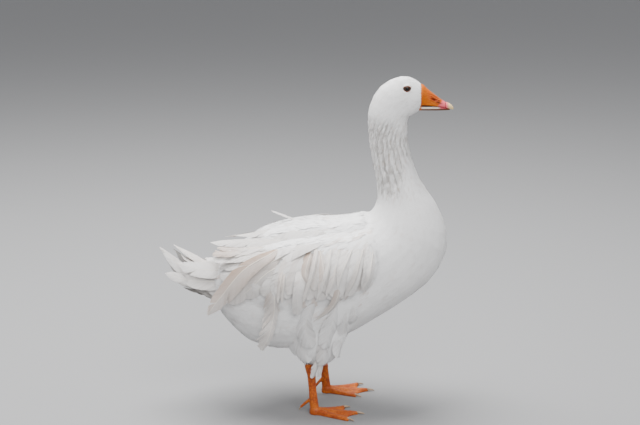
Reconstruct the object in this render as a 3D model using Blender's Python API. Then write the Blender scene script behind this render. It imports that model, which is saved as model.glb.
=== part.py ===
"""A life-size standing domestic goose of a curly-feathered breed, as closed solids, +Z up, facing +X."""

import math

import bmesh
import bpy
from mathutils import Vector

# ---- Driving dimensions, in millimetres. x = 0 is the hip line, z = 0 the floor, -y the goose's right side.
MM = 0.001
GAP = 0.36  # between pieces that meet
CLEAR = 1.6  # between the trunk and the feather shells laid over it

# Sections through the body, from under the tail to the root of the bill. Each is a closed ring in a plane
# across the body: (back x, back z, belly x, belly z, half width, low, square). low moves the widest part
# towards the belly, and square fills out the corners of the ellipse.
SECTIONS = {
    "under tail": (-230, 259, -238, 236, 13, 0.00, 2.0),
    "tail root": (-198, 266, -206, 214, 32, 0.00, 2.0),
    "vent": (-172, 286, -181, 190, 57, 0.02, 2.1),
    "paunch end": (-142, 305, -158, 160, 79, 0.05, 2.2),
    "paunch": (-85, 328, -112, 122, 99, 0.08, 2.3),
    "belly": (-25, 341, -36, 113, 105, 0.08, 2.3),
    "keel": (32, 343, 34, 129, 103, 0.05, 2.3),
    "shoulder": (68, 347, 97, 163, 97, 0.02, 2.2),
    "crop": (88, 355, 160, 202, 88, 0.00, 2.1),
    "breast": (100, 367, 211, 245, 76, 0.00, 2.0),
    "breast point": (107, 382, 236, 302, 64, 0.00, 2.0),
    "neck root": (108, 400, 221, 366, 50, 0.00, 2.0),
    "lower neck": (102, 436, 183, 425, 38, 0.00, 2.0),
    "middle neck": (93, 479, 167, 473, 33, 0.00, 2.0),
    "upper neck": (90, 522, 161, 519, 31, 0.00, 2.0),
    "nape": (93, 555, 164, 535.5, 30.5, 0.05, 2.0),
    "cheek": (109, 586, 172.5, 540.5, 28.5, 0.14, 2.1),
    "crown": (139, 605, 178, 544, 26, 0.20, 2.1),
    "brow": (169, 605.5, 181, 546.5, 21, 0.20, 2.1),
    "bill root": (190.5, 590.5, 182.5, 548, 15.2, 0.05, 2.2),
}
RING_POINTS = 24
NECK_ROOT = 10.4  # the section number where the trunk ends

# Eyes: where on the side of the head, and how deep their centres lie under its surface
EYE_RADIUS = 8.0
EYE_X, EYE_Z = 158.4, 588.6
EYE_SINK = 5.4

# Bill rings: (top x, top z, lower x, lower z, half width). The nail is the hard tip of the upper half.
UPPER_BILL = [
    (191.2, 589.9, 185.0, 558.0, 15.0),
    (200, 582.3, 196, 558.2, 14.5),
    (211, 573.8, 208.5, 557.0, 13.5),
    (221, 566.2, 220, 555.0, 12.3),
    (227.6, 562.6, 227.2, 553.1, 11.2),
]
NAIL = [
    (228.0, 562.4, 227.6, 553.0, 11.1),
    (234, 559.8, 233.7, 551.5, 9.4),
    (238.8, 556.3, 238.5, 550.2, 6.9),
    (241.8, 552.4, 241.5, 549.1, 3.5),
]
LOWER_BILL = [
    (184.9, 557.4, 183.0, 547.0, 13.2),
    (197, 557.6, 197, 546.9, 12.5),
    (210, 556.3, 210, 546.8, 11.3),
    (221, 554.2, 221, 546.9, 9.5),
    (229.5, 551.9, 229.5, 547.1, 7.1),
    (236, 550.1, 236, 547.6, 4.3),
]

# Wings: a shell over each side of the trunk, from the shoulder back, and in degrees down from the back
WING_FROM, WING_TO = 7.95, 3.15  # in section numbers
WING_TOP, WING_BOTTOM = 31.5, 94.0
WING_THICK = 9.0
WING_SCALLOPS = 9
WING_AXIS_Z = 235  # the height round which the flight feathers lean outwards
# Mantle: the cape of shoulder feathers over the back
MANTLE_FROM, MANTLE_TO = 8.3, 3.3
MANTLE_HALF = 29.0
MANTLE_THICK = 8.5

# Long loose feathers over each wing, in side view: (root x, root z, tip x, tip z, bow, half width). They hang
# from front to back; bow swings the middle forwards.
PLUMES = {
    "r": [
        (88, 318, 88, 212, 4, 11),
        (58, 321, 60, 196, 7, 11.5),
        (27, 322, 22, 176, 10, 12),
        (-4, 322, -16, 198, 8, 12.5),
        (-35, 321, -52, 192, 8, 13),
        (-66, 317, -100, 142, 14, 13),
        (-97, 309, -134, 206, 8, 12),
    ],
    "l": [
        (86, 318, 82, 206, 4, 11),
        (56, 321, 50, 190, 8, 11.5),
        (25, 322, 20, 206, 8, 12),
        (-6, 322, -24, 178, 10, 12.5),
        (-37, 321, -58, 164, 10, 13),
        (-68, 317, -96, 186, 9, 13),
        (-98, 309, -136, 210, 8, 12),
    ],
}
PLUME_THICK = 1.8
PLUME_LIFT = (1.4, 5.0)  # clearance over the wing at the root and at the tip

# Flight feathers standing out behind the wings: centre line (x, out, z), half width and thickness
FLIGHT = {
    "primaries": ([(-138, 90, 268), (-160, 88, 240), (-180, 83, 212), (-198, 76, 190)], 19, 5.0),
    "secondaries": ([(-140, 74, 297), (-160, 67, 294), (-182, 59, 292), (-203, 51, 292)], 13, 4.0),
    "tertials": ([(-120, 46, 319), (-134, 42, 317), (-148, 37, 315), (-162, 31, 312)], 14, 4.0),
}

# Tail fan, over the trunk's end
TAIL_ROOT_X, TAIL_ROOT_Z = -199, 275
TAIL_REACH = 84
TAIL_HALF_ANGLE = 29
TAIL_ROOT_HALF = 25
TAIL_FEATHERS = 11
TAIL_RISE = 0.30
TAIL_ROOF = 42
TAIL_ROOT_ROOF = 9
TAIL_THICK = (5.0, 1.6)

# Legs: the feathered thigh as (x, out, z, half length, half width), then the bare shank as (x, out, z, half
# length, half width). The left leg stands forward by LEFT_STEP.
THIGH = [
    (6, 62, 205, 57, 30),
    (4, 64, 172, 55, 31),
    (2, 64, 140, 49, 29),
    (0, 63, 117, 39, 24),
    (0, 61, 104, 31, 18),
    (-1, 60, 98, 23, 12),
]
SHANK = [
    (-13.0, 60, 97.6, 10.4, 8.4),
    (-12.0, 60, 88, 10.2, 8.0),
    (-10.0, 60, 72, 7.8, 6.4),
    (-8.0, 59.5, 46, 7.2, 5.8),
    (-6.0, 59, 26, 8.0, 6.8),
    (-4.5, 59, 15.4, 8.6, 8.0),
]
SHANK_POINTS = 12
LEFT_STEP = 22
FOOT_AT = (-4, 59)
# Toes: (degrees outwards, length, half width, height at the tip)
TOES = {"outer": (31, 72, 5.6, 6.4), "middle": (3, 80, 6.0, 6.8), "inner": (-26, 62, 5.2, 6.0)}
FOOT_HEIGHT = 15.0
HEEL = 10.0
WEB_HEIGHT = 2.6
WEB_REACH = 0.82  # how far the web's edge draws back between the toes
CLAW = [(0, 3.1), (4, 3.0), (7.5, 2.3), (10, 1.2)]  # (distance past the toe, height)
# The hind toe's middle line and its claw's, from the foot's joint: (back, inwards, height)
HIND_TOE = [(-13.3, 3, 24), (-17, 5, 20), (-22, 7, 14), (-26, 9, 9)]
HIND_CLAW = [(-26.4, 9.2, 8.5), (-28, 10, 5.5), (-28.8, 10.4, 2.6)]


def material(name, colour, roughness):
    """A plain finish for one kind of surface."""
    made = bpy.data.materials.new(name)
    made.use_nodes = True
    shader = made.node_tree.nodes["Principled BSDF"]
    shader.inputs["Base Color"].default_value = (*colour, 1)
    shader.inputs["Roughness"].default_value = roughness
    shader.inputs["Metallic"].default_value = 0
    made.diffuse_color = (*colour, 1)
    return made


def spline(values, t):
    """A smooth curve through the values, at t counted in values."""
    i = min(max(int(math.floor(t)), 0), len(values) - 2)
    f = t - i
    a, b = values[i], values[i + 1]
    before = values[i - 1] if i > 0 else 2 * a - b
    after = values[i + 2] if i + 2 < len(values) else 2 * b - a
    slope_a, slope_b = (b - before) / 2, (after - a) / 2
    square, cube = f * f, f * f * f
    near = (2 * cube - 3 * square + 1) * a + (cube - 2 * square + f) * slope_a
    far = (3 * square - 2 * cube) * b + (cube - square) * slope_b
    return near + far


def body_point(s, angle, off=0.0):
    """The point of the body's surface at section number s, this many radians round from the back."""
    row = [spline([section[k] for section in SECTIONS.values()], s) for k in range(7)]
    back, belly = Vector((row[0], 0, row[1])), Vector((row[2], 0, row[3]))
    half, low, power = row[4], row[5], 2 / row[6]
    middle, up = (back + belly) / 2, (back - belly) / 2
    up = up.normalized() * (up.length + off)
    rise = math.copysign(abs(math.cos(angle)) ** power, math.cos(angle))
    out = math.copysign(abs(math.sin(angle)) ** power, math.sin(angle))
    return middle + up * rise + Vector((0, (half + off) * out * (1 - low * rise), 0))


def body_ring(s, off=0.0, shift=0.0):
    """One closed ring of the body, moved along the body by shift millimetres for a parting gap."""
    ring = [body_point(s, 2 * math.pi * k / RING_POINTS, off) for k in range(RING_POINTS)]
    across = ring[0] - ring[RING_POINTS // 2]
    normal = Vector((0, 1, 0)).cross(across).normalized()
    return [p + normal * shift for p in ring]


def side_place(x, z, off, s, angle):
    """The section number and angle at which the body's side has this x and z, searched from a first guess."""
    for _ in range(30):
        here = body_point(s, angle, off)
        along = (body_point(s + 0.01, angle, off) - here) / 0.01
        round_it = (body_point(s, angle + 0.01, off) - here) / 0.01
        dx, dz = x - here.x, z - here.z
        span = along.x * round_it.z - along.z * round_it.x
        s += 0.7 * (dx * round_it.z - dz * round_it.x) / span
        angle += 0.7 * (along.x * dz - along.z * dx) / span
    return s, angle


def link(name, bm, finish, group):
    """Turns the mesh into a named object with outward faces."""
    bmesh.ops.triangulate(bm, faces=[f for f in bm.faces if len(f.verts) > 4])
    bmesh.ops.recalc_face_normals(bm, faces=bm.faces)
    if bm.calc_volume(signed=True) < 0:
        bmesh.ops.reverse_faces(bm, faces=bm.faces)
    mesh = bpy.data.meshes.new(name)
    bm.to_mesh(mesh)
    bm.free()
    mesh.materials.append(finish)
    mesh.shade_smooth()
    made = bpy.data.objects.new(name, mesh)
    group.objects.link(made)
    return made


def loft(name, rings, finish, group):
    """A closed solid through rings with the same number of points, with flat ends."""
    bm = bmesh.new()
    rows = [[bm.verts.new(p * MM) for p in ring] for ring in rings]
    count = len(rows[0])
    for first, second in zip(rows, rows[1:]):
        for k in range(count):
            bm.faces.new((first[k], first[(k + 1) % count], second[(k + 1) % count], second[k]))
    bm.faces.new(reversed(rows[0]))
    bm.faces.new(rows[-1])
    return link(name, bm, finish, group)


def body_piece(name, start, end, rings, finish, group):
    """A length of the body between two section numbers, parted by half a gap from each neighbour."""
    steps = [start + (end - start) * k / (rings - 1) for k in range(rings)]
    first = 0 if start == 0 else GAP / 2
    last = 0 if end == len(SECTIONS) - 1 else -GAP / 2
    shifts = [first] + [0] * (rings - 2) + [last]
    return loft(name, [body_ring(s, 0, d) for s, d in zip(steps, shifts)], finish, group)


def sheet(name, outer, inner, finish, group):
    """A closed solid between two grids of points of the same size."""
    bm = bmesh.new()
    skins = [[[bm.verts.new(p * MM) for p in row] for row in grid] for grid in (outer, inner)]
    rows, columns = len(outer), len(outer[0])
    for grid in skins:
        for i in range(rows - 1):
            for j in range(columns - 1):
                bm.faces.new((grid[i][j], grid[i + 1][j], grid[i + 1][j + 1], grid[i][j + 1]))
    rim = [(0, j) for j in range(columns - 1)] + [(i, columns - 1) for i in range(rows - 1)]
    rim += [(rows - 1, j) for j in range(columns - 1, 0, -1)] + [(i, 0) for i in range(rows - 1, 0, -1)]
    for k, (i, j) in enumerate(rim):
        m, n = rim[(k + 1) % len(rim)]
        bm.faces.new((skins[0][i][j], skins[0][m][n], skins[1][m][n], skins[1][i][j]))
    return link(name, bm, finish, group)


def shell(name, start, end, edges, thick, side, finish, group, rows, columns):
    """A feather shell over the trunk. edges gives its two bounding angles at a share of the length."""
    outer, inner = [], []
    for i in range(rows):
        u = i / (rows - 1)
        top, bottom = edges(u)
        s = start + (end - start) * u
        outer_row, inner_row = [], []
        for j in range(columns):
            v = j / (columns - 1)
            angle = side * math.radians(top + (bottom - top) * v)
            full = min(1, 4.5 * min(u, 1 - u, v, 1 - v))
            depth = 1.2 + (thick - 1.2) * math.sqrt(full * (2 - full))
            outer_row.append(body_point(s, angle, CLEAR + depth))
            inner_row.append(body_point(s, angle, CLEAR))
        outer.append(outer_row)
        inner.append(inner_row)
    return sheet(name, outer, inner, finish, group)


def blade(name, line, normals, half, thick, finish, group, root=0.55, tip=0.12):
    """One long feather as a thin closed solid along a line of points, pointed at its tip."""
    rings = []
    for k, (p, normal) in enumerate(zip(line, normals)):
        t = k / (len(line) - 1)
        tangent = (line[min(k + 1, len(line) - 1)] - line[max(k - 1, 0)]).normalized()
        out = (normal - tangent * normal.dot(tangent)).normalized()
        wide = tangent.cross(out)
        swell = root + (1 - root) * min(1, t / 0.35)
        close = math.sqrt(max(0.0, 1 - max(0.0, (t - 0.45) / 0.55) ** 2))
        w = half * max(tip, swell * close)
        d, edge = thick / 2, min(0.4, thick / 4)
        rings.append([
            p - wide * w - out * edge, p - wide * w + out * edge, p + out * d,
            p + wide * w + out * edge, p + wide * w - out * edge, p - out * d,
        ])
    return loft(name, rings, finish, group)


def bill_ring(top_x, top_z, low_x, low_z, half, domed):
    """One ring of the bill: flat at the cutting edge, with an arch over it, or under it if not domed."""
    top, low = Vector((top_x, 0, top_z)), Vector((low_x, 0, low_z))
    flat, peak = (low, top) if domed else (top, low)
    arch = [math.pi * k / 10 for k in range(11)]
    points = [
        flat + (peak - flat) * math.sin(a) ** 0.8
        + Vector((0, half * math.copysign(abs(math.cos(a)) ** 0.8, math.cos(a)), 0))
        for a in arch
    ]
    return points + [flat + Vector((0, half * y, 0)) for y in (-0.5, 0, 0.5)]


def level_rings(rows, side, shift, points):
    """Level oval rings for a leg, given as (x, out, z, half length, half width)."""
    return [
        [
            Vector((
                x + shift + length * math.cos(2 * math.pi * k / points),
                side * (out + width * math.sin(2 * math.pi * k / points)),
                z,
            ))
            for k in range(points)
        ]
        for x, out, z, length, width in rows
    ]


def foot_reach(angle):
    """How far the foot's outline lies from its joint in this direction, in degrees outwards."""
    toes = sorted(TOES.values())
    if angle < toes[0][0] or angle > toes[-1][0]:
        nearest = toes[0] if angle < toes[0][0] else toes[-1]
        beyond = abs(angle - nearest[0])
        side_reach = nearest[2] / math.sin(math.radians(max(beyond, 1)))
        return max(HEEL, min(nearest[1] * math.cos(math.radians(min(beyond, 90))), side_reach))
    for low, high in zip(toes, toes[1:]):
        if low[0] <= angle <= high[0]:
            t = (angle - low[0]) / (high[0] - low[0])
            reach = low[1] + (high[1] - low[1]) * t
            return reach * (1 - (1 - WEB_REACH) * math.sin(math.pi * t) ** 0.7)
    return HEEL


def foot_rise(angle, r):
    """The height of the foot's upper side at this direction and distance from its joint."""
    height = WEB_HEIGHT
    for lean, length, half, tip in TOES.values():
        away = abs(angle - lean)
        across = r * math.sin(math.radians(min(away, 90)))
        along = min(1, r / length)
        top = FOOT_HEIGHT + (tip - FOOT_HEIGHT) * min(1, along * 1.6) ** 0.6
        full = max(0.0, 1 - (across / (half * 1.25)) ** 2)
        height = max(height, WEB_HEIGHT + (top - WEB_HEIGHT) * math.sqrt(full) * (away < 90))
    behind = max(0.0, 1 - (r / (HEEL * 1.25)) ** 2)
    return max(height, FOOT_HEIGHT * math.sqrt(behind))


def foot(name, side, shift, finish, group):
    """One webbed foot: a flat sole with three toes and the web between them on it."""
    leans = sorted(lean for lean, *_ in TOES.values())
    spread = []
    for low, high in zip(leans, leans[1:]):
        spread += [low, low + 3.8, low + 7.5, (low + high) / 2, high - 7.5, high - 3.8]
    angles = [leans[0] - 4.2, leans[0] - 2] + spread + [leans[-1], leans[-1] + 2, leans[-1] + 4.2]
    start, end = angles[0], angles[-1]
    angles = [start - 62, start - 26, start - 9] + angles + [end + 9, end + 26, end + 62]
    angles += [end + 108, (start + end) / 2 + 180, start - 108 + 360]
    shares = [0.1, 0.24, 0.45, 0.66, 0.84, 0.955, 1.0]
    centre = Vector((FOOT_AT[0] + shift, side * FOOT_AT[1], 0))
    bm = bmesh.new()
    hub = bm.verts.new((centre + Vector((0, 0, FOOT_HEIGHT))) * MM)
    rows = []
    for share in shares:
        row = []
        for angle in angles:
            turned = (angle + 180) % 360 - 180
            r = foot_reach(turned) * share
            z = foot_rise(turned, r) if share < 1 else max(1.4, foot_rise(turned, r) * 0.55)
            flat = Vector((r * math.cos(math.radians(angle)), side * r * math.sin(math.radians(angle)), z))
            row.append(bm.verts.new((centre + flat) * MM))
        rows.append(row)
    rows.append([bm.verts.new(Vector((v.co.x, v.co.y, 0))) for v in rows[-1]])
    count = len(angles)
    for k in range(count):
        bm.faces.new((hub, rows[0][k], rows[0][(k + 1) % count]))
    for first, second in zip(rows, rows[1:]):
        for k in range(count):
            bm.faces.new((first[k], second[k], second[(k + 1) % count], first[(k + 1) % count]))
    bm.faces.new(rows[-1])
    return link(name, bm, finish, group)


def horn(name, line, start, end, finish, group, points=8):
    """A curved tapering piece along a line of points, oval at each, for claws and the hind toe."""
    rings = []
    for k, p in enumerate(line):
        t = k / (len(line) - 1)
        tangent = (line[min(k + 1, len(line) - 1)] - line[max(k - 1, 0)]).normalized()
        wide = tangent.cross(Vector((0, 0, 1))).normalized()
        high = wide.cross(tangent)
        w = start[0] + (end[0] - start[0]) * t
        h = start[1] + (end[1] - start[1]) * t
        ring = []
        for n in range(points):
            a = 2 * math.pi * n / points
            ring.append(p + wide * w * math.cos(a) + high * h * math.sin(a))
        rings.append(ring)
    return loft(name, rings, finish, group)


def both_sides():
    """The goose's left and right: the sign of y, and the letter that ends a node's name."""
    return ((1, "l"), (-1, "r"))


def make_body(white, goose):
    """Trunk, neck and head: lengths of one body, parted across it. Returns the head."""
    body_piece("trunk", 0, NECK_ROOT, 20, white, goose)
    body_piece("neck_lower", NECK_ROOT, 12, 5, white, goose)
    body_piece("neck_middle", 12, 13.5, 4, white, goose)
    body_piece("neck_upper", 13.5, 15, 5, white, goose)
    return body_piece("head", 15, len(SECTIONS) - 1, 8, white, goose)


def cut_from(target, cutter):
    """Cuts the cutter's shape out of the target."""
    cutter.display_type = "WIRE"
    cutter.hide_render = True
    cut = target.modifiers.new(cutter.name, "BOOLEAN")
    cut.operation = "DIFFERENCE"
    cut.solver = "EXACT"
    cut.object = cutter


def make_eyes(head, dark, goose, cutters):
    """Eyeballs, in sockets cut from the head."""
    eye_out = body_point(*side_place(EYE_X, EYE_Z, 0, 17.5, math.radians(60))).y - EYE_SINK
    for side, hand in both_sides():
        for name, radius, group in (("eye", EYE_RADIUS, goose), ("socket", EYE_RADIUS + GAP, cutters)):
            bm = bmesh.new()
            bmesh.ops.create_uvsphere(bm, u_segments=14, v_segments=9, radius=radius * MM)
            bmesh.ops.translate(bm, verts=bm.verts, vec=Vector((EYE_X, side * eye_out, EYE_Z)) * MM)
            ball = link(f"{name}_{hand}", bm, dark, group)
            if group is cutters:
                cut_from(head, ball)


def make_bill(orange, pink, goose):
    """The two halves of the bill, and the hard nail at its tip."""
    loft("bill_upper", [bill_ring(*row, True) for row in UPPER_BILL], orange, goose)
    loft("bill_nail", [bill_ring(*row, True) for row in NAIL], pink, goose)
    loft("bill_lower", [bill_ring(*row, False) for row in LOWER_BILL], orange, goose)


def mantle_edges(u):
    """The mantle's bounding angles, rounded off at both ends."""
    half = MANTLE_HALF * math.sqrt(max(0.02, 1 - (2 * u - 1) ** 6))
    return -half, half


def wing_edges(u):
    """A wing's bounding angles: a rounded shoulder, a scalloped lower edge, and a rising rear."""
    front = 1 - 0.45 * max(0.0, 1 - u / 0.16) ** 2
    wave = 1.6 * abs(math.sin(math.pi * WING_SCALLOPS * u))
    rear = 16 * max(0.0, (u - 0.72) / 0.28) ** 2
    low = WING_TOP + (WING_BOTTOM - WING_TOP) * front + wave - rear
    return WING_TOP + 12 * max(0.0, 1 - u / 0.1) ** 2, low


def make_shells(white, goose):
    """Mantle and wings, as shells over the trunk."""
    shell("mantle", MANTLE_FROM, MANTLE_TO, mantle_edges, MANTLE_THICK, 1, white, goose, 15, 7)
    for side, hand in both_sides():
        shell(f"wing_{hand}", WING_FROM, WING_TO, wing_edges, WING_THICK, side, white, goose, 20, 8)


def plume_line(x0, z0, x1, z1, bow, side):
    """A long feather's middle line over the wing, and the body's outward direction at each of its points."""
    line, normals = [], []
    for n in range(8):
        t = n / 7
        off = CLEAR + WING_THICK + PLUME_LIFT[0] + (PLUME_LIFT[1] - PLUME_LIFT[0]) * t + PLUME_THICK / 2
        x = x0 + (x1 - x0) * t + bow * math.sin(math.pi * t)
        guess = 3 + (x + 142) / 34
        s, angle = side_place(x, z0 + (z1 - z0) * t, off, guess, math.radians(60))
        here = body_point(s, angle, off)
        along = body_point(s + 0.02, angle, off) - here
        round_it = body_point(s, angle + 0.02, off) - here
        normal = along.cross(round_it).normalized()
        if normal.y < 0:
            normal.negate()
        line.append(Vector((here.x, side * here.y, here.z)))
        normals.append(Vector((normal.x, side * normal.y, normal.z)))
    return line, normals


def make_long_feathers(buff, goose):
    """Loose feathers hanging over the wings, and the flight feathers behind them."""
    for side, hand in both_sides():
        for k, (x0, z0, x1, z1, bow, half) in enumerate(PLUMES[hand], 1):
            line, normals = plume_line(x0, z0, x1, z1, bow, side)
            blade(f"plume_{hand}_{k}", line, normals, half, PLUME_THICK, buff, goose)
        for name, (points, half, thick) in FLIGHT.items():
            line = []
            for n in range(7):
                t = n * (len(points) - 1) / 6
                x, y, z = (spline([p[k] for p in points], t) for k in range(3))
                line.append(Vector((x, side * y, z)))
            normals = [Vector((-22, p.y, p.z - WING_AXIS_Z)).normalized() for p in line]
            blade(f"{name}_{hand}", line, normals, half, thick, buff, goose, 0.8, 0.16)


def make_tail(white, goose):
    """The tail: a roof-shaped fan, its end notched between the feathers."""
    outer, inner = [], []
    for i in range(5):
        r = i / 4
        outer_row, inner_row = [], []
        for j in range(2 * TAIL_FEATHERS + 1):
            u = j / TAIL_FEATHERS - 1
            notch = 0.07 if i == 4 and j % 2 == 0 else 0
            reach = TAIL_REACH * r * (1 - 0.10 * abs(u) - notch)
            lean = math.radians(TAIL_HALF_ANGLE * u)
            x = TAIL_ROOT_X - reach * math.cos(lean)
            y = TAIL_ROOT_HALF * u * (1 - 0.35 * r) + reach * math.sin(lean) * 1.15
            drop = (TAIL_ROOT_ROOF + (TAIL_ROOF - TAIL_ROOT_ROOF) * r) * u * u
            z = TAIL_ROOT_Z + TAIL_RISE * reach - drop
            half = (TAIL_THICK[0] + (TAIL_THICK[1] - TAIL_THICK[0]) * r) / 2
            outer_row.append(Vector((x, y, z + half)))
            inner_row.append(Vector((x, y, z - half)))
        outer.append(outer_row)
        inner.append(inner_row)
    sheet("tail", outer, inner, white, goose)


def make_legs(white, skin, pale, goose, cutters):
    """Thighs, cut away where they lie in the trunk, and the bare shanks, feet, hind toes and claws."""
    trunk_room = loft("trunk_room", [body_ring(NECK_ROOT * k / 19, GAP) for k in range(20)], white, cutters)
    for side, hand, shift in ((1, "l", LEFT_STEP), (-1, "r", 0)):
        cut_from(loft(f"thigh_{hand}", level_rings(THIGH, side, shift, 20), white, goose), trunk_room)
        loft(f"shank_{hand}", level_rings(SHANK, side, shift, SHANK_POINTS), skin, goose)
        foot(f"foot_{hand}", side, shift, skin, goose)
        joint = Vector((FOOT_AT[0] + shift, side * FOOT_AT[1], 0))
        for toe, (lean, length, half, tip) in TOES.items():
            way = Vector((math.cos(math.radians(lean)), side * math.sin(math.radians(lean)), 0))
            line = [joint + way * (length + GAP + d) + Vector((0, 0, z)) for d, z in CLAW]
            horn(f"claw_{toe}_{hand}", line, (2.4, 2.6), (0.7, 0.8), pale, goose)
        line = [joint + Vector((x, -side * y, z)) for x, y, z in HIND_TOE]
        horn(f"hind_toe_{hand}", line, (3.2, 3.4), (2.3, 2.4), skin, goose)
        line = [joint + Vector((x, -side * y, z)) for x, y, z in HIND_CLAW]
        horn(f"claw_hind_{hand}", line, (1.9, 1.9), (0.7, 0.7), pale, goose)


def stand_over_origin(goose, cutters):
    """Moves everything level, until the middle of the goose's box is over the origin."""
    points = [v.co for piece in goose.objects for v in piece.data.vertices]
    stand = bpy.data.objects.new("stand", None)
    goose.objects.link(stand)
    stand.location.x = -(min(p.x for p in points) + max(p.x for p in points)) / 2
    stand.location.y = -(min(p.y for p in points) + max(p.y for p in points)) / 2
    for piece in list(goose.objects) + list(cutters.objects):
        if piece is not stand:
            piece.parent = stand


def main():
    """Builds every piece of the goose."""
    for old in list(bpy.data.objects):
        bpy.data.objects.remove(old)
    goose = bpy.data.collections.new("goose")
    cutters = bpy.data.collections.new("cutters")
    for group in (goose, cutters):
        bpy.context.scene.collection.children.link(group)

    white = material("white_feather", (0.84, 0.82, 0.79), 0.85)
    buff = material("loose_feather", (0.78, 0.72, 0.65), 0.85)
    orange = material("bill_orange", (0.68, 0.24, 0.05), 0.45)
    pink = material("nail_pink", (0.78, 0.50, 0.42), 0.4)
    dark = material("eye_brown", (0.03, 0.018, 0.012), 0.08)
    skin = material("leg_orange", (0.56, 0.20, 0.06), 0.6)
    pale = material("claw_horn", (0.55, 0.42, 0.32), 0.5)

    head = make_body(white, goose)
    make_eyes(head, dark, goose, cutters)
    make_bill(orange, pink, goose)
    make_shells(white, goose)
    make_long_feathers(buff, goose)
    make_tail(white, goose)
    make_legs(white, skin, pale, goose, cutters)
    stand_over_origin(goose, cutters)


main()
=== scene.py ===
import math

import bmesh
import bpy
import numpy as np
from mathutils import Matrix, Vector, noise
from mathutils.bvhtree import BVHTree


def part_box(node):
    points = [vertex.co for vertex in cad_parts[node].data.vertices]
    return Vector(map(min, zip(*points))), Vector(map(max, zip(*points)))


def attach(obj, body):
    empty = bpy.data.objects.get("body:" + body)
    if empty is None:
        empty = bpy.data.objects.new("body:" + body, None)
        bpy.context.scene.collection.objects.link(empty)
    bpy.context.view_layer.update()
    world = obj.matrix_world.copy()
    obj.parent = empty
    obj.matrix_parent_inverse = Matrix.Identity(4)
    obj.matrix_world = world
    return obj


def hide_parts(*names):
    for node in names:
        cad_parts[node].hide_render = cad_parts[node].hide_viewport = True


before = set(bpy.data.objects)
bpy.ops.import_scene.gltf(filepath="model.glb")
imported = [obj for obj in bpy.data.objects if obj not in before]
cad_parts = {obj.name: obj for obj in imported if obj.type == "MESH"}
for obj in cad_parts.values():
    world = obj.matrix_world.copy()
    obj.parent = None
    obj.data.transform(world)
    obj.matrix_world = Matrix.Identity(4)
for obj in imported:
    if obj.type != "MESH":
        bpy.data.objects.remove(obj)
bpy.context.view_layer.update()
mm = 0.001

# Places below are in millimetres: forwards of the hip, left of the middle and above the floor.
nailReach = 241.8
hip = np.array([
    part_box("bill_nail")[1].x - nailReach * mm,
    (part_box("head")[0].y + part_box("head")[1].y) / 2,
    0.0,
])
sides = {"r": -1, "l": 1}
leftLegAhead = 22  # the left leg's step


def unit(v):
    return v / np.maximum(np.linalg.norm(v, axis=-1, keepdims=True), 1e-9)


def smoothStep(x, low, high):
    t = np.clip((x - low) / (high - low), 0, 1)
    return t * t * (3 - 2 * t)


def bump(x, middle, reach):
    return np.exp(-((x - middle) / reach) ** 2)


# Shader groups, each built once and placed in the materials with their own values

def newGroup(name, inputs, outputs):
    group = bpy.data.node_groups.new(name, "ShaderNodeTree")
    for label, kind, value in inputs:
        socket = group.interface.new_socket(label, in_out="INPUT", socket_type=kind)
        if value is not None:
            socket.default_value = value
    for label, kind in outputs:
        group.interface.new_socket(label, in_out="OUTPUT", socket_type=kind)
    return group, group.nodes.new("NodeGroupInput").outputs, group.nodes.new("NodeGroupOutput").inputs


def addNode(tree, kind, inputs=None, **values):
    node = tree.nodes.new(kind)
    for key, value in values.items():
        setattr(node, key, value)
    for key, value in (inputs or {}).items():
        if isinstance(value, bpy.types.NodeSocket):
            tree.links.new(value, node.inputs[key])
        else:
            node.inputs[key].default_value = value
    return node


def mixColour(tree, factor, first, second):
    return addNode(tree, "ShaderNodeMix", {0: factor, 6: first, 7: second}, data_type="RGBA").outputs[2]


def spanned(tree, value, low, high, start=0.0, end=1.0):
    inputs = {"Value": value, "From Min": low, "From Max": high, "To Min": start, "To Max": end}
    return addNode(tree, "ShaderNodeMapRange", inputs).outputs["Result"]


def mottleGroup():
    # soft patches, from noise in the object's own place
    inputs = [
        ("Scale", "NodeSocketFloat", 20),
        ("Low", "NodeSocketFloat", 0.4),
        ("High", "NodeSocketFloat", 0.7),
    ]
    group, given, put = newGroup("mottle", inputs, [("Mask", "NodeSocketFloat")])
    where = addNode(group, "ShaderNodeTexCoord")
    grain = addNode(group, "ShaderNodeTexNoise", {
        "Vector": where.outputs["Object"], "Scale": given["Scale"], "Detail": 4.0})
    group.links.new(spanned(group, grain.outputs["Fac"], given["Low"], given["High"]), put["Mask"])
    return group


def barbGroup():
    # fine barbs across a feather, from the vane's own map
    group, given, put = newGroup(
        "barbs", [("Barbs", "NodeSocketFloat", 90), ("Depth", "NodeSocketFloat", 0.0002)],
        [("Normal", "NodeSocketVector"), ("Mask", "NodeSocketFloat")])
    vane = addNode(group, "ShaderNodeUVMap", uv_map="vane")
    wave = addNode(group, "ShaderNodeTexWave", {
        "Vector": vane.outputs["UV"], "Scale": given["Barbs"], "Distortion": 1.2, "Detail": 1.0,
    }, wave_type="BANDS", bands_direction="Y")
    raised = addNode(group, "ShaderNodeBump", {
        "Strength": 0.5, "Distance": given["Depth"], "Height": wave.outputs["Fac"]})
    group.links.new(raised.outputs["Normal"], put["Normal"])
    group.links.new(wave.outputs["Fac"], put["Mask"])
    return group


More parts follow.
